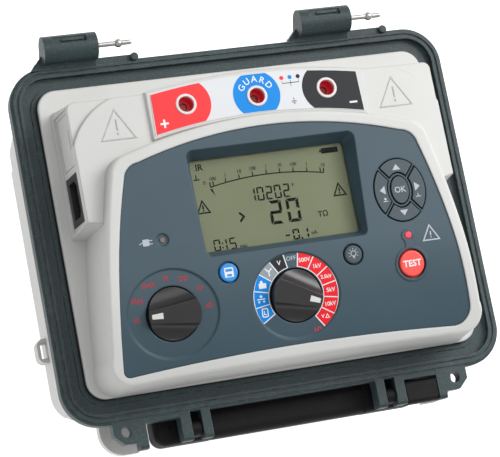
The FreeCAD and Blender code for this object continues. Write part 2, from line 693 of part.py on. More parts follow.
def display_well(grow):
    """Tapered well from the display glass up through the fascia."""
    low = display_wire(LCD_HX + grow, LCD_HX + grow, LCD_Y0 - grow, LCD_Y1 + grow,
                       2.0 + grow, RIM_Z + LCD_Z)
    high = display_wire(58.7 + grow, 62.3 + grow, -35.1 - grow, 43.7 + grow,
                        6.5 + grow, RIM_Z + LCD_Z + 18.7)
    return Part.makeLoft([low, high], True, True)


def dish(xy, radius):
    """Shallow round recess that follows the fascia surface round a knob."""
    cone = Part.makeCone(radius - 5.0, radius + 7.0, 12.0, V(0, 0, -5.0))
    cone = on_fascia(cone, xy)
    return cone.cut(under_profile(-DISH_DEPTH))


def knob_cup(xy):
    """Cup below the fascia in which a knob turns."""
    cup = cyl(KNOB_WELL_R + 2.0, 7.0, 0, 0, -8.0)
    return on_fascia(cup, xy, -DISH_DEPTH + 0.8)


def knob_hollow(xy):
    hollow = cyl(KNOB_WELL_R, 20.0, 0, 0, -5.2)
    hollow = hollow.fuse(cyl(SHAFT_R + RUN_FIT, 20.0, 0, 0, -15.0))
    return on_fascia(hollow, xy, -DISH_DEPTH)


def ellipse_block(rx, ry, z0, z1):
    if rx > ry:
        curve = Part.Ellipse(V(0, 0, z0), rx, ry)
    else:
        curve = Part.Ellipse(V(0, ry, z0), V(rx, 0, z0), V(0, 0, z0))
    return Part.Face(Part.Wire(curve.toShape())).extrude(V(0, 0, z1 - z0))


def key_sector(turn, shrink, z0, z1):
    """One of the four arrow keys: part of an elliptical ring between two diagonals."""
    outer = ellipse_block(KEYPAD_RX - shrink, KEYPAD_RY - shrink, z0, z1)
    inner = ellipse_block(OK_RX + 2.3 + shrink, OK_RY + 2.3 + shrink, z0 - 1, z1 + 1)
    gap = KEY_WEB + shrink
    spread = KEY_DIAGONAL if turn % 180 == 0 else 90.0 - KEY_DIAGONAL
    reach = 60.0
    slope = math.tan(math.radians(spread))
    half = math.degrees(math.atan(1.0 / slope))
    tip = gap / math.sin(math.radians(half))
    wide = (reach - tip) / slope
    wedge = Part.makePolygon([V(0, tip, z0), V(wide, reach, z0), V(-wide, reach, z0), V(0, tip, z0)])
    wedge = slab(wedge, z0, z1)
    wedge.rotate(V(0, 0, 0), V(0, 0, 1), turn)
    return outer.cut(inner).common(wedge)


def button_hole(radius, xy):
    return on_fascia(cyl(radius, 20.0, 0, 0, -8.0), xy)


def test_surround():
    """Raised keyhole-shaped pad round the test button and its lamp."""
    rise, deep = 0.5, 3.3
    pad = cyl(11.8, deep, 0, 0, rise - deep)
    lamp_off = TEST_LAMP_XY[1] - TEST_XY[1]
    neck = box(-2.7, 2.7, 0.0, lamp_off, rise - deep, rise)
    head = cyl(4.3, deep, 0, lamp_off, rise - deep)
    pad = pad.fuse(neck).fuse(head)
    pad = on_fascia(pad, TEST_XY)
    return pad.common(under_profile(rise))


def fascia():
    plate = slab(fascia_wire(0.0, RIM_Z + 20.0), RIM_Z + 20.0, RIM_Z + 70.0)
    plate = plate.common(under_profile(0.0)).cut(under_profile(-FASCIA_T))
    skirt = display_well(2.0).common(under_profile(-1.0))
    solid = plate.fuse([skirt, knob_cup(RANGE_XY), knob_cup(MODE_XY), test_surround()])
    cups = [dish(RANGE_XY, RANGE_DISH_R), dish(MODE_XY, DISH_R), knob_hollow(RANGE_XY), knob_hollow(MODE_XY)]
    holes = [button_hole(BUTTON_HOLE_R, SAVE_XY), button_hole(BUTTON_HOLE_R, LIGHT_XY),
             button_hole(TEST_HOLE_R, TEST_XY)]
    for turn in (0, 90, 180, 270):
        holes.append(on_fascia(key_sector(turn, 0.0, -6.0, 6.0), KEYPAD_XY))
    holes.append(on_fascia(ellipse_block(OK_RX + KEY_GAP, OK_RY + KEY_GAP, -6.0, 6.0), KEYPAD_XY))
    holes.append(on_fascia(cyl(LAMP_R, 10.0, 0, 0, -5.0), TEST_LAMP_XY))
    holes.append(on_fascia(cyl(1.7, 10.0, 0, 0, -5.0), CHARGE_LAMP_XY))
    holes.append(on_fascia(Part.makeCone(3.6, 4.9, 2.0, V(0, 0, -1.2)), CHARGE_LAMP_XY))
    return solid.cut([display_well(0.0)] + cups + holes).removeSplitter()


def display_window():
    return rounded_window(2.2, LCD_Z - GLASS_T, LCD_Z)


def rounded_window(grow, z0, z1):
    wire = display_wire(LCD_HX + grow, LCD_HX + grow, LCD_Y0 - grow, LCD_Y1 + grow, 2.5, RIM_Z + z0)
    return slab(wire, RIM_Z + z0, RIM_Z + z1)


def display_module():
    """Liquid crystal panel in its frame, standing on the control board."""
    top = LCD_Z - GLASS_T
    frame = rounded_window(2.8, BOARD_TOP, top)
    for sx in (-1, 1):
        for y in (LCD_Y0 + 8.0, LCD_Y1 - 8.0):
            x0 = min(sx * (LCD_HX - 4.0), sx * (LCD_HX + 6.0))
            z = RIM_Z + BOARD_TOP
            frame = frame.cut(box(x0, x0 + 10.0, y - 2.0, y + 2.0, z, z + 3.0))
    return frame


def button(radius, dome):
    """Round push button with a retaining flange and a stem; z = 0 is the fascia surface."""
    cap = cyl(radius, 5.0, 0, 0, -4.2)
    edge = [e for e in cap.Edges if e.BoundBox.ZMin > 0.7]
    cap = cap.makeFillet(dome, [e for e in edge if len(e.Vertexes) == 1])
    flange = cyl(radius + 1.6, 1.2, 0, 0, -5.0)
    stem = cyl(2.0, 3.0, 0, 0, -STEM_END)
    return cap.fuse(flange).fuse(stem).removeSplitter()


def arrow_key(turn):
    cap = key_sector(turn, KEY_GAP, -4.2, 0.7)
    centre = V(0, 14.5, -STEM_END) if turn % 180 == 0 else V(0, 12.0, -STEM_END)
    stem = Part.makeCylinder(1.6, STEM_END - 3.0, centre)
    stem.rotate(V(0, 0, 0), V(0, 0, 1), turn)
    return on_fascia(cap.fuse(stem).removeSplitter(), KEYPAD_XY)


def ok_key():
    cap = ellipse_block(OK_RX, OK_RY, -4.2, 0.9)
    stem = cyl(2.0, STEM_END - 3.0, 0, 0, -STEM_END)
    return on_fascia(cap.fuse(stem).removeSplitter(), KEYPAD_XY)


def button_mat():
    """Black rubber sheet behind the buttons that keeps dust out of the key gaps."""
    z0 = -6.5
    z1 = -5.5
    pad = on_fascia(ellipse_block(KEYPAD_RX + 2.0, KEYPAD_RY + 2.0, z0, z1), KEYPAD_XY)
    places = [(0, 0, 2.0)]
    for turn, out in ((0, 14.5), (90, 12.0), (180, 14.5), (270, 12.0)):
        a = math.radians(turn)
        places.append((-out * math.sin(a), out * math.cos(a), 1.6))
    for x, y, r in places:
        pad = pad.cut(on_fascia(cyl(r + MAT_GAP, 3.0, x, y, z0 - 1), KEYPAD_XY))
    pads = [pad.common(slab(fascia_wire(LEDGE + 0.4, RIM_Z + 20.0), RIM_Z + 20.0, RIM_Z + 70.0))]
    for xy, r in ((SAVE_XY, BUTTON_HOLE_R), (LIGHT_XY, BUTTON_HOLE_R), (TEST_XY, TEST_HOLE_R)):
        disc = cyl(r + 2.5, 1.0, 0, 0, -7.4)
        wall = cyl(r + 2.5, 4.4, 0, 0, -7.4).cut(cyl(r + 1.3, 4.4, 0, 0, -7.4))
        disc = disc.fuse(wall).cut(cyl(2.0 + MAT_GAP, 5.0, 0, 0, -9.0))
        disc = on_fascia(disc, xy).cut(under_profile_band()).cut(display_well(2.3))
        pads.append(disc.common(slab(fascia_wire(LEDGE + 0.4, RIM_Z + 20.0), RIM_Z + 20.0, RIM_Z + 70.0)))
    return Part.makeCompound(pads)


def under_profile_band():
    """Everything above the underside of the fascia."""
    block = box(-150, 150, -110, 75, RIM_Z + 20, RIM_Z + 80)
    return block.cut(under_profile(-FASCIA_T))


def button_stems():
    """Foot of every button stem: centre point on the fascia, local offset, radius."""
    feet_at = [(SAVE_XY, 0.0, 0.0), (LIGHT_XY, 0.0, 0.0), (TEST_XY, 0.0, 0.0), (KEYPAD_XY, 0.0, 0.0)]
    for turn, out in ((0, 14.5), (90, 12.0), (180, 14.5), (270, 12.0)):
        a = math.radians(turn)
        feet_at.append((KEYPAD_XY, -out * math.sin(a), out * math.cos(a)))
    return feet_at


def tact_switches():
    """Small push switches on the control board, one below each button stem."""
    parts = []
    board_z = RIM_Z + BOARD_TOP
    for xy, dx, dy in button_stems():
        tip = on_fascia(Part.Vertex(V(dx, dy, -STEM_END - BUTTON_TRAVEL - 0.4)), xy).Point
        top = tip.z - 0.6
        case = box(tip.x - 3.0, tip.x + 3.0, tip.y - 3.0, tip.y + 3.0, board_z, top - 1.0)
        plunger = cyl(1.6, 1.2, tip.x, tip.y, top - 1.1)
        parts.append(case.fuse(plunger))
    return Part.makeCompound(parts)


def test_lamp():
    lens = cyl(LAMP_R, 5.0, 0, 0, -4.0)
    lens = lens.makeFillet(0.8, [e for e in lens.Edges if e.BoundBox.ZMin > 0.5 and len(e.Vertexes) == 1])
    flange = cyl(LAMP_R + 0.8, 1.0, 0, 0, -4.5)
    return on_fascia(lens.fuse(flange), TEST_LAMP_XY)


def charge_lamp():
    lens = cyl(1.7, 3.8, 0, 0, -4.4)
    return on_fascia(lens.fuse(cyl(2.4, 1.0, 0, 0, -4.9)), CHARGE_LAMP_XY)


# ================= rotary controls =================

def knob_turned(shape, xy, pointer):
    """Turn a knob piece so it points the given angle clockwise from the rear."""
    out = shape.copy()
    out.rotate(V(0, 0, 0), V(0, 0, 1), -pointer)
    return on_fascia(out, xy, -DISH_DEPTH)


def flank_cutter(side):
    """Hollow flank beside the finger grip; the grip narrows towards the pointer."""
    profile = [V(0, 0, KNOB_TOP + 0.4), V(3.2, 0, 2.6), V(16.0, 0, 0.6)]
    edges = [arc(profile[0], profile[1], profile[2]),
             Part.makeLine(profile[2], V(30.0, 0, 0.6)),
             Part.makeLine(V(30.0, 0, 0.6), V(30.0, 0, 12.0)),
             Part.makeLine(V(30.0, 0, 12.0), V(0, 0, 12.0)),
             Part.makeLine(V(0, 0, 12.0), profile[0])]
    block = Part.Face(Part.Wire(edges)).extrude(V(0, 60.0, 0))
    block.translate(V(0, -30.0, 0))
    lean = math.degrees(math.atan2(GRIP_TAIL - GRIP_NOSE, 2.0 * KNOB_R))
    block.rotate(V(0, 0, 0), V(0, 0, 1), lean)
    block.translate(V((GRIP_TAIL + GRIP_NOSE) / 2.0, 0, 0))
    if side < 0:
        block = mirror_x(block)
    return block


def marker_shape(extra):
    """White pointer bar let into the sloping top of the grip."""
    outline = [V(-2.0, 8.2, -2), V(2.0, 8.2, -2), V(1.5, 15.6, -2), V(-1.5, 15.6, -2), V(-2.0, 8.2, -2)]
    bar = slab(Part.makePolygon(outline), -2.0, 10.0)
    return bar.common(grip_top(0.15)).cut(grip_top(-0.7 - extra))


def grip_top(lift):
    """Half space under the sloping top of the grip, raised by lift."""
    tail_z = KNOB_TOP + lift
    nose_z = KNOB_NOSE + lift
    return along_x([
        ((-20.0, -10.0), (20.0, -10.0)),
        ((20.0, -10.0), (20.0, nose_z)),
        ((20.0, nose_z), (-20.0, tail_z)),
        ((-20.0, tail_z), (-20.0, -10.0))], -20.0, 20.0)


def knob():
    """Knob body; z = 0 is the surface round it, the pointer looks to +Y."""
    puck = cyl(KNOB_R, 13.0, 0, 0, -4.6)
    puck = puck.common(grip_top(0.0))
    puck = puck.cut([flank_cutter(1), flank_cutter(-1)])
    puck = puck.cut(marker_shape(0.0))
    return puck.cut(cyl(SHAFT_R, 6.0, 0, 0, -5.0)).removeSplitter()


def knob_shaft():
    return cyl(SHAFT_R, 11.5, 0, 0, -10.5)


def rotary_switch(xy):
    body = cyl(11.0, 3.2, 0, 0, -10.6)
    body = body.cut(cyl(SHAFT_R + RUN_FIT, 20.0, 0, 0, -16.0))
    return on_fascia(body, xy, -DISH_DEPTH)


# ================= terminals =================

def label_wire(z):
    """Plan of the pale terminal label on its island."""
    return Part.Wire([
        arc(V(-73.2, 84.2, z), V(0, 90.5, z), V(73.2, 84.2, z)),
        Part.makeLine(V(73.2, 84.2, z), V(74.4, 55.8, z)),
        arc(V(74.4, 55.8, z), V(0, 63.6, z), V(-74.4, 55.8, z)),
        Part.makeLine(V(-74.4, 55.8, z), V(-73.2, 84.2, z))])


def socket_spots():
    return [(i * SOCKET_PITCH, SOCKET_Y) for i in (-1, 0, 1)]


def terminal_label():
    z = RIM_Z + ISLAND_TOP
    plate = slab(label_wire(z), z, z + LABEL_T)
    for x, y in socket_spots():
        plate = plate.cut(cyl(SOCKET_RING_R, 4.0, x, y, z - 1))
    return plate


def socket_shells():
    """Pale insulating tubes of the three test lead sockets, with a thick lip at the mouth."""
    parts = []
    top = RIM_Z + ISLAND_TOP + 1.2
    for x, y in socket_spots():
        tube = cyl(SOCKET_RING_R, SOCKET_DEEP, x, y, top - SOCKET_DEEP)
        mouth = [e for e in tube.Edges if e.BoundBox.ZMin > top - 0.1 and len(e.Vertexes) == 1]
        tube = tube.makeFillet(0.6, mouth)
        nut = cyl(9.0, 3.0, x, y, RIM_Z + SHOULDER_TOP - SHELL - 3.5)
        tube = tube.fuse(nut).cut(cyl(SOCKET_BORE_R, SOCKET_LIP + 1.0, x, y, top - SOCKET_LIP))
        seat = cyl(SOCKET_BORE_R + 0.6, SOCKET_DEEP - SOCKET_LIP - 2.0, x, y, top - SOCKET_DEEP + 2.0)
        parts.append(tube.cut(seat))
    return Part.makeCompound(parts)


def socket_liners():
    """Red tubes that line the sockets; the shrouded plug of a lead slides in here."""
    parts = []
    top = RIM_Z + ISLAND_TOP + 1.2
    base = top - SOCKET_DEEP + 2.0
    for x, y in socket_spots():
        tube = cyl(SOCKET_BORE_R + 0.6, top - SOCKET_LIP - base, x, y, base)
        tube = tube.cut(cyl(SOCKET_BORE_R, SOCKET_DEEP, x, y, top - SOCKET_BORE_DEEP))
        tube = tube.cut(cyl(SOCKET_CORE_R, SOCKET_DEEP, x, y, base + 1.5))
        parts.append(tube.cut(cyl(CONTACT_R, 5.0, x, y, base - 1)))
    return Part.makeCompound(parts)


def socket_contacts():
    """Brass spring tubes at the bottom of the sockets."""
    parts = []
    base = RIM_Z + ISLAND_TOP + 1.2 - SOCKET_DEEP
    reach = SOCKET_DEEP - SOCKET_BORE_DEEP - 0.5
    for x, y in socket_spots():
        tube = cyl(CONTACT_R, reach - 2.0, x, y, base + 2.0)
        tube = tube.cut(cyl(1.6, 12.0, x, y, base + 6.0))
        parts.append(tube.fuse(cyl(1.0, 7.0, x, y, base - 4.0)))
    return Part.makeCompound(parts)


def drill_tails(shape):
    for x, y in socket_spots():
        shape = shape.cut(cyl(1.0, 12.0, x, y, RIM_Z + ISLAND_TOP + 1.2 - SOCKET_DEEP - 6.0))
    return shape


# ================= mains inlet side =================

def inlet_centre():
    return (INLET_Y[0] + INLET_Y[1]) / 2.0, RIM_Z + (INLET_Z[0] + INLET_Z[1]) / 2.0


def mains_inlet():
    """Appliance inlet: black face with a shrouded cavity and a flange behind the wall."""
    y0, y1 = INLET_Y
    z0, z1 = RIM_Z + INLET_Z[0], RIM_Z + INLET_Z[1]
    body = box(-140.0, INLET_BACK_X, y0, y1, z0, z1).common(deck_core(RECESS_DEEP - 0.4))
    flange = box(SIDE_WALL_X, SIDE_WALL_X + 2.0, y0 + 1.2, y1 + 3.0, z0 - 3.0, z1 + 1.0)
    cy, cz = inlet_centre()
    hy, hz, cut = 12.2, 8.0, 3.5
    cavity = along_x([
        ((cy - hy, cz - hz), (cy + hy, cz - hz)),
        ((cy + hy, cz - hz), (cy + hy, cz + hz - cut)),
        ((cy + hy, cz + hz - cut), (cy + hy - cut, cz + hz)),
        ((cy + hy - cut, cz + hz), (cy - hy + cut, cz + hz)),
        ((cy - hy + cut, cz + hz), (cy - hy, cz + hz - cut)),
        ((cy - hy, cz + hz - cut), (cy - hy, cz - hz))], -140.0, INLET_BACK_X - 2.5)
    solid = body.fuse(flange).cut(cavity)
    for blade in inlet_blades():
        solid = solid.cut(blade)
    return solid.removeSplitter()


def inlet_blades():
    cy, cz = inlet_centre()
    blades = []
    for dy, dz in ((-7.0, -2.0), (0.0, 2.0), (7.0, -2.0)):
        blades.append(box(-126.0, INLET_BACK_X + 4.0, cy + dy - 1.0, cy + dy + 1.0,
                          cz + dz - 2.0, cz + dz + 2.0))
    return blades


def data_port():
    """Small metal-shelled data socket behind the hinged cover."""
    y0, y1 = PORT_Y
    z0, z1 = RIM_Z + PORT_Z[0], RIM_Z + PORT_Z[1]
    shell = box(PORT_X, PORT_X + 15.0, y0, y1, z0, z1)
    hollow = box(PORT_X - 1.0, PORT_X + 12.0, y0 + 0.6, y1 - 0.6, z0 + 0.6, z1 - 0.6)
    tongue = box(PORT_X + 2.0, PORT_X + 13.0, y0 + 2.0, y1 - 2.0, z0 + 3.0, z0 + 5.0)
    return shell.cut(hollow).fuse(tongue).removeSplitter()


def port_cover():
    """Flap that swings down about a line along its lower edge, with a nail groove on top."""
    y0, y1 = COVER_Y
    x, z = cover_axis()
    z1 = RIM_Z + COVER_TOP
    plate = wall_slab(RECESS_DEEP, RECESS_DEEP + COVER_T, COVER_Y, (COVER_AXIS_Z, COVER_TOP))
    knuckle = cyl(COVER_KNUCKLE_R, y1 - y0, x, y0, z, V(0, 1, 0))
    pin = cyl(COVER_PIN_R, y1 - y0 + 3.6, x, y0 - 1.8, z, V(0, 1, 0))
    groove_z = z1 - 3.2
    groove = cyl(1.3, 13.0, deck_wall_x(groove_z) + 0.5, (y0 + y1) / 2.0 - 6.5, groove_z, V(0, 1, 0))
    return plate.fuse([knuckle, pin]).cut(groove).removeSplitter()


# ================= boards and modules inside =================

def control_board():
    plate = box(-BOARD_HX, BOARD_HX, -86.0, 41.0, RIM_Z + BOARD_TOP - 1.6, RIM_Z + BOARD_TOP)
    for x, y in board_screw_spots():
        plate = plate.cut(cyl(1.5, 6.0, x, y, RIM_Z + BOARD_TOP - 4.0))
    corner = 22.0
    for sx in (-1, 1):
        cut = Part.makePolygon([V(sx * BOARD_HX, 42, 0), V(sx * (BOARD_HX - corner), 42, 0),
                                V(sx * BOARD_HX, 42 - corner, 0), V(sx * BOARD_HX, 42, 0)])
        plate = plate.cut(slab(cut, 0.0, 300.0))
    return plate


def board_screw_spots():
    return [(sx * 105.0, y) for sx in (-1, 1) for y in (-70.0, -5.0)]


def board_screws():
    parts = []
    for x, y in board_screw_spots():
        head = cyl(2.8, 1.8, x, y, RIM_Z + BOARD_TOP)
        shank = cyl(1.5, 8.0, x, y, RIM_Z + BOARD_TOP - 7.5)
        parts.append(head.fuse(shank))
    return Part.makeCompound(parts)


def main_board():
    plate = box(-120.0, 120.0, -84.0, 84.0, DECK_Z, DECK_Z + 1.6)
    for x, y in standoff_spots():
        plate = plate.cut(cyl(1.6, 10.0, x, y, DECK_Z - 4.0))
    return plate


def standoff_spots():
    return [(sx * 112.0, sy * 60.0) for sx in (-1, 1) for sy in (-1, 1)]


def standoff_screws():
    parts = []
    for x, y in standoff_spots():
        parts.append(cyl(3.0, 2.0, x, y, DECK_Z + 1.6).fuse(cyl(1.6, 8.0, x, y, DECK_Z - 6.0)))
    return Part.makeCompound(parts)


def battery_pack():
    """Sealed battery pack on the floor of the tub, with moulded cell bulges."""
    pack = box(-95.0, 25.0, -70.0, 70.0, FOOT_H + WALL, DECK_Z - 6.0)
    for i in range(5):
        y = -56.0 + 28.0 * i
        pack = pack.cut(box(-96.0, 26.0, y - 15.0, y - 13.0, DECK_Z - 9.0, DECK_Z))
    return pack


def hv_module():
    """Potted high-voltage generator."""
    block = box(22.0, 106.0, -62.0, 50.0, DECK_Z + 1.6, DECK_Z + 34.0)
    lid = box(26.0, 102.0, -58.0, 46.0, DECK_Z + 34.0, DECK_Z + 36.0)
    return block.fuse(lid).removeSplitter()


def power_supply():
    """Mains power unit with a finned cover."""
    block = box(-106.0, -20.0, -40.0, 56.0, DECK_Z + 1.6, DECK_Z + 22.0)
    for i in range(9):
        x = -102.0 + 9.0 * i
        block = block.fuse(box(x, x + 3.0, -36.0, 52.0, DECK_Z + 21.0, DECK_Z + 30.0))
    return block.removeSplitter()


def panel_gasket():
    """Black foam strip between the panel flange and the ledge of the rim."""
    return ring_block(FLANGE_HX + 0.6, FLANGE_HY + 0.6, FLANGE_R + 0.6, 2.6, RIM_Z - 3.5, RIM_Z - 1.0)


# ================= handle and latch =================

def soft_bar(x0, x1, y0, y1, z0, z1, r):
    """Bar along X with all its long edges rounded."""
    bar = box(x0, x1, y0, y1, z0, z1)
    long_edges = [e for e in bar.Edges if e.BoundBox.XLength > x1 - x0 - 0.01]
    return bar.makeFillet(r, long_edges)


def handle_hub():
    """Thick right end of the handle with a round nose."""
    low = HANDLE_TOP - HANDLE_H
    hub = box(HUB_X, HANDLE_END, HANDLE_FRONT, HUB_REAR, low, HANDLE_TOP)
    nose = [e for e in hub.Edges
            if e.BoundBox.XMin > HANDLE_END - 0.01 and e.BoundBox.ZLength > HANDLE_H - 0.01]
    hub = hub.makeFillet(8.0, nose)
    rims = [e for e in hub.Edges
            if e.BoundBox.ZLength < 0.01 and e.BoundBox.XMax > HUB_X + 0.01]
    return hub.makeFillet(3.6, rims)


def handle_lug():
    """Lug that rises from the hub between two prongs and turns on the pin."""
    r = 5.2
    lug = along_x([
        ((PIVOT_Y + r, PIVOT_Z), (PIVOT_Y, PIVOT_Z + r), (PIVOT_Y - r, PIVOT_Z)),
        ((PIVOT_Y - r, PIVOT_Z), (PIVOT_Y - r, HANDLE_TOP - 6.0)),
        ((PIVOT_Y - r, HANDLE_TOP - 6.0), (PIVOT_Y + r, HANDLE_TOP - 6.0)),
        ((PIVOT_Y + r, HANDLE_TOP - 6.0), (PIVOT_Y + r, PIVOT_Z))], LUG_X[0], LUG_X[1])
    return lug


def handle():
    """Carry handle hanging under the rim: grip, two hubs and two lugs."""
    low = HANDLE_TOP - HANDLE_H
    grip = soft_bar(-HUB_X - 4.0, HUB_X + 4.0, HANDLE_FRONT, GRIP_REAR, low, HANDLE_TOP - 1.6, 6.0)
    solid = grip.fuse(both_sides(handle_hub())).fuse(both_sides(handle_lug()))
    bore = cyl(HANDLE_PIN_R + RUN_FIT, 2.0 * HANDLE_END, -HANDLE_END, PIVOT_Y, PIVOT_Z, V(1, 0, 0))
    screw_y = (HANDLE_FRONT + HUB_REAR) / 2.0
    for x in (-84.5, 84.5):
        solid = solid.cut(cyl(1.3, 2.0, x, screw_y, HANDLE_TOP - 1.5))
    return solid.cut(bore).removeSplitter()


def handle_pins():
    pin = cyl(HANDLE_PIN_R, 16.9, 60.2, PIVOT_Y, PIVOT_Z, V(1, 0, 0))
    return Part.makeCompound([pin, mirror_x(pin)])


def latch_right():
    """Latch block in the right bay; turns on a pin between the prong and the lock tab."""
    r = LATCH_REAR_R
    top = RIM_Z - 1.5
    rise = top - PIVOT_Z
    reach = math.sqrt(r * r - rise * rise)
    mid = math.radians(22.0)
    drop = math.radians(-28.0)
    end = math.radians(-56.0)
    front = -142.4
    low = PIVOT_Z + r * math.sin(end)
    body = along_x([
        ((PIVOT_Y + r * math.cos(end), low),
         (PIVOT_Y + r * math.cos(drop), PIVOT_Z + r * math.sin(drop)), (PIVOT_Y + r, PIVOT_Z)),
        ((PIVOT_Y + r, PIVOT_Z),
         (PIVOT_Y + r * math.cos(mid), PIVOT_Z + r * math.sin(mid)), (PIVOT_Y + reach, top)),
        ((PIVOT_Y + reach, top), (front + 3.0, top)),
        ((front + 3.0, top), (front + 0.9, top - 0.9), (front, top - 3.0)),
        ((front, top - 3.0), (front, low + 3.0)),
        ((front, low + 3.0), (front + 0.9, low + 0.9), (front + 3.0, low)),
        ((front + 3.0, low), (PIVOT_Y + r * math.cos(end), low))], LATCH_X[0], LATCH_X[1])
    return body.cut(cyl(LATCH_PIN_R + RUN_FIT, 40.0, LATCH_X[0] - 5.0, PIVOT_Y, PIVOT_Z, V(1, 0, 0)))


def latch_pin():
    return cyl(LATCH_PIN_R, 31.0, 78.0, PIVOT_Y, PIVOT_Z, V(1, 0, 0))


# ================= export =================

def export_all():
    pieces = {
        "base_shell": base_shell(),
        "rim_frame": rim_frame(),
        "hinge_pins": hinge_pins(),
        "feet": feet(),
        "case_screws": case_screws(),
        "front_panel": front_panel(),
        "panel_gasket": panel_gasket(),
        "fascia": fascia(),
        "terminal_label": terminal_label(),
        "socket_shells": drill_tails(socket_shells()),
        "socket_liners": socket_liners(),
        "socket_contacts": socket_contacts(),
        "display_window": display_window(),
        "display_module": display_module(),
        "button_mat": button_mat(),
        "tact_switches": tact_switches(),
        "test_lamp": test_lamp(),
        "charge_lamp": charge_lamp(),
        "save_button": on_fascia(button(BUTTON_R, 0.9), SAVE_XY),
        "light_button": on_fascia(button(BUTTON_R, 0.9), LIGHT_XY),
        "test_button": on_fascia(button(TEST_R, 1.4), TEST_XY),
        "key_up": arrow_key(0),
        "key_left": arrow_key(90),
        "key_down": arrow_key(180),
        "key_right": arrow_key(270),
        "key_ok": ok_key(),
        "range_knob": knob_turned(knob(), RANGE_XY, RANGE_POINTS),
        "range_marker": knob_turned(marker_shape(0.0), RANGE_XY, RANGE_POINTS),
        "range_shaft": knob_turned(knob_shaft(), RANGE_XY, RANGE_POINTS),
        "range_switch": rotary_switch(RANGE_XY),
        "mode_knob": knob_turned(knob(), MODE_XY, MODE_POINTS),
        "mode_marker": knob_turned(marker_shape(0.0), MODE_XY, MODE_POINTS),
        "mode_shaft": knob_turned(knob_shaft(), MODE_XY, MODE_POINTS),
        "mode_switch": rotary_switch(MODE_XY),
        "mains_inlet": mains_inlet(),
        "inlet_blades": Part.makeCompound(inlet_blades()),
        "data_port": data_port(),
        "port_cover": port_cover(),
        "control_board": control_board(),
        "board_screws": board_screws(),
        "main_board": main_board(),
        "standoff_screws": standoff_screws(),
        "battery_pack": battery_pack(),
        "hv_module": hv_module(),
        "power_supply": power_supply(),
        "handle": handle(),
        "handle_pins": handle_pins(),
        "latch_right": latch_right(),
        "latch_pin": latch_pin(),
    }
    for name, shape in pieces.items():
        save(name, shape)


export_all()
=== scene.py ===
import json
import math

import bmesh
import bpy
from mathutils import Matrix, Vector
from mathutils.geometry import tessellate_polygon


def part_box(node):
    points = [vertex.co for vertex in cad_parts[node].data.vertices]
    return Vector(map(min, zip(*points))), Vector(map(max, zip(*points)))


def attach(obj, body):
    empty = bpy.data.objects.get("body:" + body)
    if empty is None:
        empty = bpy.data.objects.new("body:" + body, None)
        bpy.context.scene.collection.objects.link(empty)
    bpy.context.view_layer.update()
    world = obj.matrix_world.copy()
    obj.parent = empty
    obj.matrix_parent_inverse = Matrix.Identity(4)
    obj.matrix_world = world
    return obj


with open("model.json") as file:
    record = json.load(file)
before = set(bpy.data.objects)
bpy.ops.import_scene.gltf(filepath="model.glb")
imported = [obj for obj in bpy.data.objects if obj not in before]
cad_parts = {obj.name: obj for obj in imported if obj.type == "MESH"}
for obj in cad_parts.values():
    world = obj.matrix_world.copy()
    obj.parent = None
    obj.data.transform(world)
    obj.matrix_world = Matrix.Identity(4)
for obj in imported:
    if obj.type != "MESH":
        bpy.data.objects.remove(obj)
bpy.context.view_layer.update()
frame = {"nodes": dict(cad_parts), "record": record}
NODES = frame["nodes"]
MM = 0.001

# ------------------------------------------------------------------
# surface of the fascia, as the CAD builds it (millimetres)
# ------------------------------------------------------------------
RIM_Z = 113.0
BEND_Y = -30.0
BEND_Z = RIM_Z + 50.5
REAR_SLOPE = math.radians(2.8)
FRONT_R = 240.0
DISH_DEPTH = 1.2
DECK_TOP = 43.0
SOCKET_PITCH = 50.0
SOCKET_Y = 74.9
CENTRE_Y = BEND_Y + FRONT_R * math.sin(REAR_SLOPE)
CENTRE_Z = BEND_Z - FRONT_R * math.cos(REAR_SLOPE)

RANGE_XY = (0.0, -63.0)
MODE_XY = (-85.0, -63.0)
TEST_XY = (84.0, -53.4)
SAVE_XY = (-44.2, -41.8)
LIGHT_XY = (43.4, -41.8)
KEYPAD_XY = (84.6, -3.1)


def fascia_angle(y):
    if y >= BEND_Y:
        return REAR_SLOPE
    return math.asin((CENTRE_Y - y) / FRONT_R)


def fascia_z(y, lift=0.0):
    """Height of the fascia surface raised by lift along its normal."""
    bend = CENTRE_Y - (FRONT_R + lift) * math.sin(REAR_SLOPE)
    if y >= bend:
        return CENTRE_Z + (FRONT_R + lift) * math.cos(REAR_SLOPE) + (y - bend) * math.tan(REAR_SLOPE)
    return CENTRE_Z + math.sqrt((FRONT_R + lift) ** 2 - (y - CENTRE_Y) ** 2)


def local_frame(xy, lift=0.0):
    """Matrix of a feature that stands square on the fascia (millimetres)."""
    turn = Matrix.Rotation(fascia_angle(xy[1]), 4, "X")
    normal = turn @ Vector((0, 0, 1))
    foot = Vector((xy[0], xy[1], fascia_z(xy[1]))) + normal * lift
    return Matrix.Translation(foot) @ turn


# ------------------------------------------------------------------
# node materials
# ------------------------------------------------------------------

def new_material(name):
    mat = bpy.data.materials.new(name)
    mat.use_nodes = True
    nt = mat.node_tree
    nt.nodes.clear()
    out = nt.nodes.new("ShaderNodeOutputMaterial")
    shader = nt.nodes.new("ShaderNodeBsdfPrincipled")
    nt.links.new(shader.outputs[0], out.inputs[0])
    return mat, nt, shader


def noise(nt, coords, scale, detail=3.0, rough=0.55):
    n = nt.nodes.new("ShaderNodeTexNoise")
    n.inputs["Scale"].default_value = scale
    n.inputs["Detail"].default_value = detail
    n.inputs["Roughness"].default_value = rough
    nt.links.new(coords, n.inputs["Vector"])
    return n.outputs["Fac"]


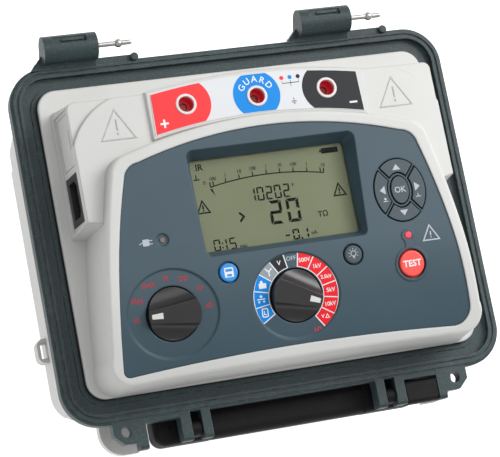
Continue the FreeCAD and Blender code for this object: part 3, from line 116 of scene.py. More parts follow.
def ramp(nt, fac, stops):
    n = nt.nodes.new("ShaderNodeValToRGB")
    nt.links.new(fac, n.inputs[0])
    while len(n.color_ramp.elements) < len(stops):
        n.color_ramp.elements.new(0.5)
    for el, (pos, col) in zip(n.color_ramp.elements, stops):
        el.position = pos
        el.color = (*col, 1.0) if len(col) == 3 else col
    return n.outputs["Color"]


def to_range(nt, fac, low, high):
    n = nt.nodes.new("ShaderNodeMapRange")
    n.inputs["To Min"].default_value = low
    n.inputs["To Max"].default_value = high
    nt.links.new(fac, n.inputs["Value"])
    return n.outputs["Result"]


def mix_colour(nt, fac, a, b, kind="MIX"):
    n = nt.nodes.new("ShaderNodeMix")
    n.data_type = "RGBA"
    n.blend_type = kind
    for value, socket in ((fac, n.inputs[0]), (a, n.inputs[6]), (b, n.inputs[7])):
        if isinstance(value, bpy.types.NodeSocket):
            nt.links.new(value, socket)
        elif isinstance(value, (int, float)):
            socket.default_value = value
        else:
            socket.default_value = (*value, 1.0)
    return n.outputs[2]


def maths(nt, op, a, b=0.0):
    n = nt.nodes.new("ShaderNodeMath")
    n.operation = op
    for value, socket in ((a, n.inputs[0]), (b, n.inputs[1])):
        if isinstance(value, bpy.types.NodeSocket):
            nt.links.new(value, socket)
        else:
            socket.default_value = value
    return n.outputs[0]


def edge_mask(nt, radius):
    """1 along sharp edges, 0 on open faces."""
    bevel = nt.nodes.new("ShaderNodeBevel")
    bevel.samples = 4
    bevel.inputs["Radius"].default_value = radius
    geo = nt.nodes.new("ShaderNodeNewGeometry")
    dot = nt.nodes.new("ShaderNodeVectorMath")
    dot.operation = "DOT_PRODUCT"
    nt.links.new(bevel.outputs[0], dot.inputs[0])
    nt.links.new(geo.outputs["Normal"], dot.inputs[1])
    away = maths(nt, "SUBTRACT", 1.0, dot.outputs["Value"])
    n = nt.nodes.new("ShaderNodeMapRange")
    n.inputs["From Min"].default_value = 0.01
    n.inputs["From Max"].default_value = 0.25
    nt.links.new(away, n.inputs["Value"])
    return n.outputs["Result"]


def moulded(name, colour, grain=2500.0, grain_depth=0.00003, rough=(0.4, 0.55), spread=0.06,
            spec=0.5, round_edges=0.0, edge_colour_worn_and_lit=None, edge_amount_worn_and_lit=0.0, speckle=0.0, coat=0.0):
    """Moulded plastic: drifting colour, fine grain, uneven gloss, and edges lightened in patches: worn
    edges, and on the slate frame and fascia a painted highlight in the same patches.
    """
    mat, nt, bsdf = new_material(name)
    coords = nt.nodes.new("ShaderNodeTexCoord").outputs["Object"]
    broad = noise(nt, coords, 14.0, 4.0)
    fine = noise(nt, coords, grain, 2.0, 0.6)
    medium = noise(nt, coords, 160.0, 5.0, 0.6)
    low = [max(0.0, c * (1.0 - spread)) for c in colour]
    high = [min(1.0, c * (1.0 + spread)) for c in colour]
    tint = ramp(nt, broad, [(0.3, low), (0.7, high)])
    if speckle > 0.0:
        dots = ramp(nt, fine, [(0.52, (1.0, 1.0, 1.0)), (0.72, tuple([1.0 + speckle] * 3))])
        tint = mix_colour(nt, 1.0, tint, dots, "MULTIPLY")
    # edges lightened in patches: worn edges, and on the slate frame and fascia a painted highlight
    if edge_colour_worn_and_lit is not None:
        worn_and_lit_edges = edge_mask(nt, 0.0009)
        patchy = ramp(nt, medium, [(0.42, (0, 0, 0)), (0.62, (1, 1, 1))])
        amount = maths(nt, "MULTIPLY", worn_and_lit_edges, patchy)
        amount = maths(nt, "MULTIPLY", amount, edge_amount_worn_and_lit)
        tint = mix_colour(nt, amount, tint, edge_colour_worn_and_lit)
    nt.links.new(tint, bsdf.inputs["Base Color"])
    gloss = to_range(nt, medium, rough[0], rough[1])
    nt.links.new(gloss, bsdf.inputs["Roughness"])
    bsdf.inputs["Specular IOR Level"].default_value = spec
    if coat > 0.0:
        bsdf.inputs["Coat Weight"].default_value = coat
        bsdf.inputs["Coat Roughness"].default_value = 0.12
    bump = nt.nodes.new("ShaderNodeBump")
    bump.inputs["Strength"].default_value = 1.0
    bump.inputs["Distance"].default_value = grain_depth
    nt.links.new(fine, bump.inputs["Height"])
    if round_edges > 0.0:
        bevel = nt.nodes.new("ShaderNodeBevel")
        bevel.samples = 4
        bevel.inputs["Radius"].default_value = round_edges
        nt.links.new(bevel.outputs[0], bump.inputs["Normal"])
    nt.links.new(bump.outputs[0], bsdf.inputs["Normal"])
    return mat


def metal(name, colour, rough=(0.2, 0.4), grain_scale=900.0):
    """Bare metal with a fine grain in its colour and gloss."""
    mat, nt, bsdf = new_material(name)
    coords = nt.nodes.new("ShaderNodeTexCoord").outputs["Object"]
    grain = noise(nt, coords, grain_scale, 3.0)
    dull = [c * 0.8 for c in colour]
    nt.links.new(ramp(nt, grain, [(0.3, dull), (0.7, colour)]), bsdf.inputs["Base Color"])
    nt.links.new(to_range(nt, grain, *rough), bsdf.inputs["Roughness"])
    bsdf.inputs["Metallic"].default_value = 1.0
    bump = nt.nodes.new("ShaderNodeBump")
    bump.inputs["Distance"].default_value = 0.00002
    nt.links.new(grain, bump.inputs["Height"])
    nt.links.new(bump.outputs[0], bsdf.inputs["Normal"])
    return mat


LIGHT_GREY = (0.565, 0.565, 0.540)
SLATE_RIM = (0.025, 0.040, 0.042)
SLATE_PANEL = (0.040, 0.072, 0.092)

MATS = {
    "light_grey": moulded("light_grey", LIGHT_GREY, 1700.0, 0.00004, (0.42, 0.55), 0.03,
                          round_edges=0.0018, edge_colour_worn_and_lit=(0.72, 0.70, 0.66), edge_amount_worn_and_lit=0.3),
    # painted highlight: the edge colour is the light teal of the lit rim, laid on the edges in worn-looking
    # patches
    "slate_frame": moulded("slate_frame", SLATE_RIM, 900.0, 0.00022, (0.40, 0.56), 0.14,
                           round_edges=0.0008, edge_colour_worn_and_lit=(0.16, 0.22, 0.23), edge_amount_worn_and_lit=0.9,
                           speckle=0.9, spec=0.35),
    "stippled_cover": moulded("stippled_cover", LIGHT_GREY, 520.0, 0.00045, (0.45, 0.6), 0.05,
                              round_edges=0.0006, speckle=-0.12),
    # painted highlight: the edge colour is the teal of the fascia where it reflects the light, laid on the
    # edges in worn-looking patches
    "slate_fascia": moulded("slate_fascia", SLATE_PANEL, 2600.0, 0.00003, (0.36, 0.46), 0.05,
                            round_edges=0.0013, edge_colour_worn_and_lit=(0.14, 0.19, 0.22), edge_amount_worn_and_lit=0.3,
                            speckle=0.15, spec=0.35),
    "slate_key": moulded("slate_key", (0.045, 0.066, 0.078), 2600.0, 0.00003, (0.36, 0.5), 0.05,
                         round_edges=0.0006, edge_colour_worn_and_lit=(0.16, 0.20, 0.22), edge_amount_worn_and_lit=0.5, spec=0.35),
    "black_handle": moulded("black_handle", (0.0045, 0.0045, 0.0050), 1100.0, 0.00012, (0.55, 0.72),
                            0.15, 0.22, round_edges=0.0012, edge_colour_worn_and_lit=(0.03, 0.03, 0.03), edge_amount_worn_and_lit=0.5,
                            speckle=0.5),
    "black_knob": moulded("black_knob", (0.020, 0.018, 0.019), 2200.0, 0.00002, (0.24, 0.36), 0.12,
                          round_edges=0.0006, edge_colour_worn_and_lit=(0.10, 0.09, 0.09), edge_amount_worn_and_lit=0.7),
    "black_plastic": moulded("black_plastic", (0.016, 0.016, 0.017), 1800.0, 0.00004, (0.35, 0.5), 0.1,
                             round_edges=0.0004),
    "black_rubber": moulded("black_rubber", (0.012, 0.012, 0.012), 1500.0, 0.00006, (0.6, 0.8), 0.1, 0.3),
    "white_marker": moulded("white_marker", (0.62, 0.62, 0.60), 1800.0, 0.00002, (0.35, 0.5), 0.04,
                            round_edges=0.0003),
    "pale_plastic": moulded("pale_plastic", (0.66, 0.62, 0.60), 1800.0, 0.00002, (0.25, 0.4), 0.03,
                            round_edges=0.0004),
    "red_plastic": moulded("red_plastic", (0.74, 0.022, 0.045), 1800.0, 0.00002, (0.25, 0.4), 0.06),
    "red_key": moulded("red_key", (0.86, 0.075, 0.060), 1800.0, 0.00002, (0.3, 0.42), 0.04,
                       round_edges=0.0006, edge_colour_worn_and_lit=(0.9, 0.3, 0.25), edge_amount_worn_and_lit=0.4),
    "blue_key": moulded("blue_key", (0.010, 0.235, 0.62), 1800.0, 0.00002, (0.3, 0.42), 0.05,
                        round_edges=0.0006, edge_colour_worn_and_lit=(0.2, 0.5, 0.8), edge_amount_worn_and_lit=0.4),
    "red_lens": moulded("red_lens", (0.72, 0.012, 0.045), 1500.0, 0.00001, (0.08, 0.18), 0.05, coat=0.6),
    "dark_lens": moulded("dark_lens", (0.10, 0.07, 0.06), 1500.0, 0.00001, (0.1, 0.2), 0.05, coat=0.6),
    "label_print": moulded("label_print", (0.62, 0.63, 0.65), 1500.0, 0.00001, (0.3, 0.4), 0.02),
    "circuit_board": moulded("circuit_board", (0.02, 0.16, 0.05), 800.0, 0.00003, (0.3, 0.5), 0.3),
    "battery_case": moulded("battery_case", (0.03, 0.05, 0.13), 800.0, 0.00003, (0.3, 0.5), 0.1),
    "potting": moulded("potting", (0.02, 0.02, 0.02), 400.0, 0.0001, (0.3, 0.6), 0.2),
    "steel": metal("steel", (0.58, 0.57, 0.54)),
    "brass": metal("brass", (0.20, 0.045, 0.035)),      # painted shade: brass darkened to a dark red-brown because the contacts sit deep in shade in the red sockets
    "power_cover": metal("power_cover", (0.55, 0.56, 0.58), (0.35, 0.5), 300.0),
}


def display_glass():
    """Clear window: see-through with a soft reflection of uneven gloss."""
    mat = bpy.data.materials.new("display_glass")
    mat.use_nodes = True
    nt = mat.node_tree
    nt.nodes.clear()
    out = nt.nodes.new("ShaderNodeOutputMaterial")
    clear = nt.nodes.new("ShaderNodeBsdfTransparent")
    clear.inputs[0].default_value = (0.93, 0.95, 0.90, 1.0)
    gloss = nt.nodes.new("ShaderNodeBsdfGlossy")
    gloss.inputs["Color"].default_value = (1.0, 1.0, 1.0, 1.0)
    coords = nt.nodes.new("ShaderNodeTexCoord").outputs["Object"]
    smear = noise(nt, coords, 45.0, 4.0)
    nt.links.new(to_range(nt, smear, 0.06, 0.14), gloss.inputs["Roughness"])
    fresnel = nt.nodes.new("ShaderNodeFresnel")
    fresnel.inputs["IOR"].default_value = 1.2
    blend = nt.nodes.new("ShaderNodeMixShader")
    nt.links.new(fresnel.outputs[0], blend.inputs[0])
    nt.links.new(clear.outputs[0], blend.inputs[1])
    nt.links.new(gloss.outputs[0], blend.inputs[2])
    nt.links.new(blend.outputs[0], out.inputs[0])
    return mat


MATS["display_glass"] = display_glass()
MATS["display_frame"] = moulded("display_frame", (0.222, 0.228, 0.150), 900.0, 0.00001, (0.5, 0.6), 0.05)

SLOTS = {s["node"]: s["material_slot"] for s in frame["record"]["subparts"]}
for name, obj in NODES.items():
    obj.data.materials.clear()
    obj.data.materials.append(MATS["stippled_cover" if name == "port_cover" else SLOTS[name]])
    for poly in obj.data.polygons:
        poly.use_smooth = True

# ------------------------------------------------------------------
# printed and raised graphics: thin closed films that follow a surface
# ------------------------------------------------------------------

def bend_length(y):
    """Length along the fascia from the bend line to depth y; positive to the rear."""
    if y >= BEND_Y:
        return (y - BEND_Y) / math.cos(REAR_SLOPE)
    return -(fascia_angle(y) - REAR_SLOPE) * FRONT_R


def fascia_point(x, s, h):
    if s >= 0.0:
        y = BEND_Y + s * math.cos(REAR_SLOPE) - h * math.sin(REAR_SLOPE)
        z = BEND_Z + s * math.sin(REAR_SLOPE) + h * math.cos(REAR_SLOPE)
        return Vector((x, y, z))
    a = REAR_SLOPE - s / FRONT_R
    return Vector((x, CENTRE_Y - (FRONT_R + h) * math.sin(a), CENTRE_Z + (FRONT_R + h) * math.cos(a)))


def around(xy, base=0.0):
    """Drawing plane wrapped on the fascia, its origin at a control."""
    s0 = bend_length(xy[1])
    return lambda u, v, h: fascia_point(xy[0] + u, s0 + v, base + h)


def flat(z):
    return lambda u, v, h: Vector((u, v, z + h))


def tangent(xy, lift):
    """Flat drawing plane square to the fascia at a control, such as a key top."""
    m = local_frame(xy, lift)
    return lambda u, v, h: m @ Vector((u, v, h))


class Art:
    """Collects flat outlines of one colour and turns them into one thin film."""

    def __init__(self):
        self.faces = []

    def poly(self, outer, holes=()):
        loops = [[Vector((x, y, 0)) for x, y in loop] for loop in (outer, *holes)]
        flat_pts = [p for loop in loops for p in loop]
        for tri in tessellate_polygon(loops):
            self.faces.append([(flat_pts[i].x, flat_pts[i].y) for i in tri])

    def line(self, points, width):
        """Polyline of constant width with square ends, as one outline."""
        left, right = [], []
        n = len(points)
        for i, (x, y) in enumerate(points):
            before = points[max(0, i - 1)]
            after = points[min(n - 1, i + 1)]
            dx, dy = after[0] - before[0], after[1] - before[1]
            size = math.hypot(dx, dy) or 1.0
            nx, ny = -dy / size, dx / size
            stretch = 1.0
            if 0 < i < n - 1:
                ax, ay = x - before[0], y - before[1]
                bx, by = after[0] - x, after[1] - y
                la, lb = math.hypot(ax, ay), math.hypot(bx, by)
                dot = max(-0.9, (ax * bx + ay * by) / (la * lb))
                stretch = 1.0 / math.sqrt((1.0 + dot) / 2.0)
            k = width / 2.0 * stretch
            left.append((x + nx * k, y + ny * k))
            right.append((x - nx * k, y - ny * k))
        self.poly(left + right[::-1])

    def loop(self, points, width):
        """Closed outline of constant width."""
        self.poly(grow(points, width / 2.0), [grow(points, -width / 2.0)])

    def disc(self, x, y, r, steps=28):
        self.poly(circle(x, y, r, steps))

    def ring(self, x, y, r0, r1, steps=32):
        self.poly(circle(x, y, r1, steps), [circle(x, y, r0, steps)])

    def text(self, body, x, y, size, turn=0.0, bold=0.0, align="CENTER", squeeze=1.0):
        curve = bpy.data.curves.new("word", "FONT")
        curve.body = body
        curve.size = size
        curve.align_x = align
        curve.align_y = "CENTER"
        curve.offset = bold
        curve.resolution_u = 3
        word = bpy.data.objects.new("word", curve)
        mesh = word.to_mesh()
        c, s = math.cos(turn), math.sin(turn)
        for p in mesh.polygons:
            pts = []
            for i in p.vertices:
                u, v = mesh.vertices[i].co.x * squeeze, mesh.vertices[i].co.y
                pts.append((x + u * c - v * s, y + u * s + v * c))
            self.faces.append(pts)
        word.to_mesh_clear()
        bpy.data.objects.remove(word)
        bpy.data.curves.remove(curve)

    def build(self, name, place, mat, body="case", top=0.05, sink=0.04, slot=None, cut=3.0):
        """Film from sink below to top above the surface that place() describes."""
        bm = bmesh.new()
        for face in self.faces:
            bm.faces.new([bm.verts.new((x, y, 0)) for x, y in face])
        bmesh.ops.remove_doubles(bm, verts=bm.verts, dist=0.002)
        bmesh.ops.dissolve_degenerate(bm, dist=0.001, edges=bm.edges)
        if cut:
            ys = [v.co.y for v in bm.verts]
            y = math.floor(min(ys) / cut) * cut
            while y < max(ys):
                geom = bm.verts[:] + bm.edges[:] + bm.faces[:]
                bmesh.ops.bisect_plane(bm, geom=geom, plane_co=(0, y, 0), plane_no=(0, 1, 0), dist=1e-4)
                y += cut
        for f in bm.faces:
            f.normal_update()
            if f.normal.z < 0:
                f.normal_flip()
        border = [e for e in bm.edges if len(e.link_faces) == 1]
        flat_faces = [[v.index for v in f.verts] for f in index_verts(bm).faces]
        edge_pairs = []
        for e in border:
            f = e.link_faces[0]
            order = [v.index for v in f.verts]
            a, b = e.verts[0].index, e.verts[1].index
            if order[(order.index(a) + 1) % len(order)] != b:
                a, b = b, a
            edge_pairs.append((a, b))
        coords = [(v.co.x, v.co.y) for v in bm.verts]
        bm.free()
        n = len(coords)
        verts = [place(x, y, top) * MM for x, y in coords]
        verts += [place(x, y, -sink) * MM for x, y in coords]
        faces = flat_faces + [[i + n for i in reversed(f)] for f in flat_faces]
        faces += [[b, a, a + n, b + n] for a, b in edge_pairs]
        mesh = bpy.data.meshes.new(name)
        mesh.from_pydata(verts, [], faces)
        mesh.update()
        obj = bpy.data.objects.new(name, mesh)
        bpy.context.scene.collection.objects.link(obj)
        mesh.materials.append(mat)
        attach(obj, body)
        return obj


def index_verts(bm):
    bm.verts.index_update()
    bm.verts.ensure_lookup_table()
    return bm


def circle(x, y, r, steps=28):
    angles = [2 * math.pi * i / steps for i in range(steps)]
    return [(x + r * math.cos(a), y + r * math.sin(a)) for a in angles]


def grow(points, amount):
    """Outline moved outwards by amount; points run anticlockwise."""
    out = []
    n = len(points)
    for i in range(n):
        (ax, ay), (bx, by), (cx, cy) = points[i - 1], points[i], points[(i + 1) % n]
        d1 = Vector((bx - ax, by - ay)).normalized()
        d2 = Vector((cx - bx, cy - by)).normalized()
        n1, n2 = Vector((d1.y, -d1.x)), Vector((d2.y, -d2.x))
        m = (n1 + n2).normalized()
        k = amount / max(0.35, m.dot(n1))
        out.append((bx + m.x * k, by + m.y * k))
    return out


def clock(r, angle):
    """Point at radius r, angle in degrees clockwise from the rear."""
    a = math.radians(angle)
    return (r * math.sin(a), r * math.cos(a))


def band(r0, r1, a0, a1, steps=8):
    """Ring sector between two angles, anticlockwise outline."""
    outer = [clock(r1, a0 + (a1 - a0) * i / steps) for i in range(steps + 1)]
    inner = [clock(r0, a0 + (a1 - a0) * i / steps) for i in range(steps + 1)]
    return inner + outer[::-1]


def rounded(hx, hy, r, cx=0.0, cy=0.0, steps=5):
    pts = []
    for qx, qy, start in ((1, -1, -90), (1, 1, 0), (-1, 1, 90), (-1, -1, 180)):
        for i in range(steps + 1):
            a = math.radians(start + 90.0 * i / steps)
            pts.append((cx + qx * (hx - r) + r * math.cos(a), cy + qy * (hy - r) + r * math.sin(a)))
    return pts


def cross(x, y, arm, half):
    """Plus sign as one outline."""
    pts = []
    for qx, qy in ((1, -1), (1, 1), (-1, 1), (-1, -1)):
        corner = [(qx * half, qy * arm), (qx * half, qy * half), (qx * arm, qy * half)]
        pts += corner if qx * qy < 0 else corner[::-1]
    return [(x + u, y + v) for u, v in pts]


def ink(name, colour, rough=(0.40, 0.52), spread=0.04, spec=0.2):
    return moulded(name, colour, 2600.0, 0.000008, rough, spread, spec)


INK_RED = ink("ink_red", (0.76, 0.014, 0.022))
INK_RED_DIM = ink("ink_red_dim", (0.42, 0.022, 0.030))
INK_CORAL = ink("ink_coral", (0.86, 0.040, 0.045))
INK_BLUE = ink("ink_blue", (0.0, 0.225, 0.66))
INK_BLACK = ink("ink_black", (0.016, 0.018, 0.021))
INK_GREY = ink("ink_grey", (0.27, 0.31, 0.34))
INK_WHITE = ink("ink_white", (0.74, 0.75, 0.76))
INK_PALE = ink("ink_pale", (0.42, 0.46, 0.50))
INK_DARK = ink("ink_dark", (0.004, 0.005, 0.004), (0.6, 0.7), spec=0.02)
INK_DIM = ink("ink_dim", (0.012, 0.013, 0.010), (0.6, 0.7), spec=0.02)


# ---- range dial ring ----
RING_IN = 19.2
RING_OUT = 29.6
RED_EDGES = (10.6, 33.0, 56.0, 78.0, 100.0, 122.0, 143.0)
RED_WORDS = ("500V", "1kV", "2.5kV", "5kV", "10kV", "V△")
BLUE_EDGES = (-54.0, -77.0, -99.5, -122.0)


def range_ring():
    place = around(RANGE_XY, -DISH_DEPTH)
    red, blue, black, grey, white, pale = Art(), Art(), Art(), Art(), Art(), Art()
    red.poly(band(RING_IN, RING_OUT, RED_EDGES[0], RED_EDGES[-1], 44))
    blue.poly(band(RING_IN, RING_OUT, BLUE_EDGES[-1], BLUE_EDGES[0], 24))
    grey.poly(band(RING_IN, RING_OUT, -54.0, -32.0, 8))
    black.poly(band(RING_IN, RING_OUT, -32.0, -10.0, 8))
    past = 0.33
    for edge in RED_EDGES[1:-1] + BLUE_EDGES[1:-1]:
        a, b = clock(RING_IN, edge), clock(RING_OUT, edge)
        pale.line([a, b], 0.7)
    for a0, a1 in ((RED_EDGES[0], RED_EDGES[-1]), (BLUE_EDGES[-1], -10.0)):
        steps = 46
        pale.line([clock(RING_OUT, a0 + (a1 - a0) * i / steps) for i in range(steps + 1)], 0.7)
        pale.line([clock(RING_IN, a0 + (a1 - a0) * i / steps) for i in range(steps + 1)], 0.5)
        for a in (a0, a1):
            pale.line([clock(RING_IN - 0.2, a), clock(RING_OUT + past, a)], 0.7)
    for a in (-54.0, -32.0):
        pale.line([clock(RING_IN, a), clock(RING_OUT, a)], 0.7)
    middle = (RING_IN + RING_OUT) / 2.0
    for i, word in enumerate(RED_WORDS):
        x, y = clock(middle, (RED_EDGES[i] + RED_EDGES[i + 1]) / 2.0)
        size = 3.9 if len(word) < 5 else 3.4
        if word.endswith("△"):
            white.text("V", x - 1.3, y, 3.6, 0.0, 0.03)
            white.loop([(x + 0.6, y - 1.2), (x + 3.2, y - 1.2), (x + 1.9, y + 1.2)], 0.45)
        else:
            white.text(word, x, y, size, 0.0, 0.06)
    x, y = clock(middle, -21.0)
    white.text("V", x, y, 4.4, 0.0, 0.06)
    x, y = clock(middle + 0.4, 0.3)
    word = Art()
    word.text("OFF", x, y, 4.0, 0.0, 0.03)
    word.build("print_range_off", place, INK_PALE, top=0.08, sink=0.02, slot="white_marker")
    x, y = clock(middle, -43.0)
    white.line([(x - 2.4, y + 2.6), (x, y + 0.2), (x + 2.2, y + 2.4)], 0.8)
    white.line([(x, y + 0.4), (x + 0.2, y - 2.8)], 0.8)
    x, y = clock(middle, -66.0)
    white.poly(rounded(2.6, 1.7, 0.5, x, y - 0.5))
    white.poly([(x - 1.9, y + 1.0), (x + 0.6, y + 1.0), (x + 0.1, y + 3.0), (x - 1.2, y + 3.0)])
    x, y = clock(middle, -88.0)
    white.line([(x - 2.8, y), (x + 2.8, y)], 0.7)
    white.disc(x, y + 1.8, 0.9)
    white.disc(x - 1.7, y - 1.7, 0.7)
    white.disc(x + 1.7, y - 1.7, 0.7)
    x, y = clock(middle, -110.0)
    white.loop(rounded(1.9, 2.7, 0.8, x, y), 0.75)
    white.line([(x - 0.6, y + 1.4), (x - 0.6, y - 1.2), (x + 0.9, y - 1.2)], 0.6)
    x, y = clock(27.6, 153.0)
    mark = Art()
    mark.line([(x - 2.2, y + 1.5), (x - 2.2, y - 1.5)], 0.55)
    mark.ring(x + 0.8, y, 1.0, 1.6)
    red.build("print_range_red", place, INK_RED, slot="label_print")
    blue.build("print_range_blue", place, INK_BLUE, slot="label_print")
    black.build("print_range_black", place, INK_BLACK, slot="label_print")
    grey.build("print_range_grey", place, INK_GREY, slot="label_print")
    pale.build("print_range_lines", place, INK_WHITE, top=0.08, sink=0.02, slot="white_marker")
    white.build("print_range_words", place, INK_WHITE, top=0.08, sink=0.02, slot="white_marker")
    mark.build("print_range_mark", place, INK_RED, slot="label_print")


def mode_words():
    place = around(MODE_XY, -DISH_DEPTH)
    red = Art()
    words = (("IR", -93.0, 24.5), ("IR(t)", -63.0, 25.5), ("DAR", -34.0, 24.6), ("PI", -4.0, 23.4),
             ("DD", 25.0, 24.0), ("SV", 55.0, 24.5))
    for word, angle, r in words:
        x, y = clock(r, angle)
        red.text(word, x, y, 4.5, 0.0, 0.06)
    x, y = clock(25.0, 84.0)
    red.line([(x - 2.6, y - 1.2), (x + 1.8, y + 1.4), (x + 1.8, y - 1.2)], 0.6)
    red.line([(x - 2.8, y - 1.6), (x + 2.8, y - 1.6)], 0.45)
    red.build("print_mode_words", place, INK_RED_DIM, slot="label_print")


# ---- keys ----
def key_art():
    top = tangent(KEYPAD_XY, 0.7)
    bodies = {"up": (0, 1), "down": (0, -1), "left": (-1, 0), "right": (1, 0)}
    for name, (dx, dy) in bodies.items():
        art = Art()
        x, y = (0.0, 15.6 * dy) if dx == 0 else (12.4 * dx, 1.0)
        k = 3.0
        if dx == 0:
            tri = [(x - k, y - 1.8 * dy), (x + k, y - 1.8 * dy), (x, y + 2.1 * dy)]
        else:
            tri = [(x - 1.7 * dx, y - k), (x - 1.7 * dx, y + k), (x + 2.2 * dx, y)]
        if signed_area(tri) < 0:
            tri.reverse()
        art.poly(tri)
        if dx < 0:
            art.disc(x + 0.7, y - 6.0, 0.9)
            art.line([(x - 0.8, y - 7.6), (x + 2.2, y - 7.6)], 0.6)
        if dx > 0:
            art.line([(x - 2.0, y - 7.0), (x + 1.8, y - 7.0)], 0.6)
            art.line([(x - 0.2, y - 7.0), (x - 0.2, y - 4.8)], 0.6)
        art.build("icon_" + name, top, INK_PALE, name + "_push", slot="white_marker")
    ok = Art()
    ok.text("OK", 0.0, 0.0, 5.6, 0.0, 0.08)
    ok.build("icon_ok", tangent(KEYPAD_XY, 0.9), INK_PALE, "ok_push", slot="white_marker")
    word = Art()
    word.text("TEST", 0.0, 0.0, 6.0, 0.0, 0.16)
    word.build("icon_test", tangent(TEST_XY, 0.8), INK_WHITE, "test_push", slot="white_marker")
    page = Art()
    page.poly(rounded(3.1, 3.2, 0.7), [rounded(2.3, 0.9, 0.2, 0.0, 1.4), rounded(1.7, 0.8, 0.2, 0.0, -1.9)])
    page.build("icon_save", tangent(SAVE_XY, 0.8), INK_WHITE, "save_push", slot="white_marker")
    lamp = Art()
    lamp.ring(0.0, 0.6, 1.5, 2.0)
    lamp.line([(-0.8, -1.6), (0.8, -1.6)], 0.5)
    lamp.line([(-0.6, -2.4), (0.6, -2.4)], 0.5)
    for i in range(7):
        a = math.radians(-30 + 40 * i)
        lamp.line([(r * math.cos(a), 0.6 + r * math.sin(a)) for r in (2.7, 3.6)], 0.45)
    lamp.build("icon_light", tangent(LIGHT_XY, 0.8), INK_PALE, "light_push", slot="white_marker")


def signed_area(points):
    return 0.5 * sum(a[0] * b[1] - b[0] * a[1] for a, b in zip(points, points[1:] + points[:1]))


def fascia_print():
    pale = Art()
    s0 = bend_length(-34.0)
    tri = [(94.9, -39.4), (106.6, -39.5), (100.7, -29.5)]
    tri = [(x, bend_length(y) - s0) for x, y in tri]
    pale.loop(tri, 0.9)
    pale.line([(100.75, bend_length(-33.6) - s0), (100.75, bend_length(-36.4) - s0)], 0.9)
    pale.line([(100.75, bend_length(-37.2) - s0), (100.75, bend_length(-38.0) - s0)], 0.9)
    x, y = -95.9, bend_length(-15.1) - s0
    pale.poly(rounded(2.3, 2.2, 0.8, x, y))
    pale.line([(x + 2.0, y + 1.1), (x + 4.4, y + 1.1)], 0.6)
    pale.line([(x + 2.0, y - 1.1), (x + 4.4, y - 1.1)], 0.6)
    pale.line([(x - 2.0, y), (x - 3.2, y), (x - 4.6, y - 0.8)], 0.6)
    place = around((0.0, -34.0))
    pale.build("print_fascia_marks", place, INK_PALE, slot="white_marker")


# ---- display ----
SEGMENTS = {"0": "abcdef", "1": "bc", "2": "abged", "5": "afgcd", "-": "g"}


def digit(art, char, x, y, w, h, t):
    """Seven-segment figure, lower left corner at x, y."""
    gap = t * 0.14
    mid = y + h / 2.0
    bars = {"a": (x, y + h - t, x + w, y + h), "g": (x, mid - t / 2, x + w, mid + t / 2),
            "d": (x, y, x + w, y + t)}
    posts = {"f": (x, mid + gap, x + t, y + h), "b": (x + w - t, mid + gap, x + w, y + h),
             "e": (x, y, x + t, mid - gap), "c": (x + w - t, y, x + w, mid - gap)}
    for s in SEGMENTS[char]:
        if s in bars:
            x0, y0, x1, y1 = bars[s]
            k = t * 0.5
            if s == "g":
                pts = [(x0 + k, y0), (x1 - k, y0), (x1 - gap, mid),
                       (x1 - k, y1), (x0 + k, y1), (x0 + gap, mid)]
            elif s == "a":
                pts = [(x0 + t + gap, y0), (x1 - t - gap, y0), (x1 - gap * 2, y1), (x0 + gap * 2, y1)]
            else:
                pts = [(x0 + gap * 2, y0), (x1 - gap * 2, y0), (x1 - t - gap, y1), (x0 + t + gap, y1)]
        else:
            x0, y0, x1, y1 = posts[s]
            if s in "fe":
                inner, outer = x1, x0
            else:
                inner, outer = x0, x1
            if s in "fb":
                pts = [(outer, y0 + gap), (inner, y0 + t / 2), (inner, y1 - t), (outer, y1 - gap)]
            else:
                pts = [(outer, y0 + gap), (inner, y0 + t), (inner, y1 - t / 2), (outer, y1 - gap)]
        if signed_area(pts) < 0:
            pts.reverse()
        art.poly(pts)


def scale_y(x):
    """Height of the curved bar scale at x."""
    return 22.2 - 3.9 * ((x + 2.0) / 39.5) ** 2


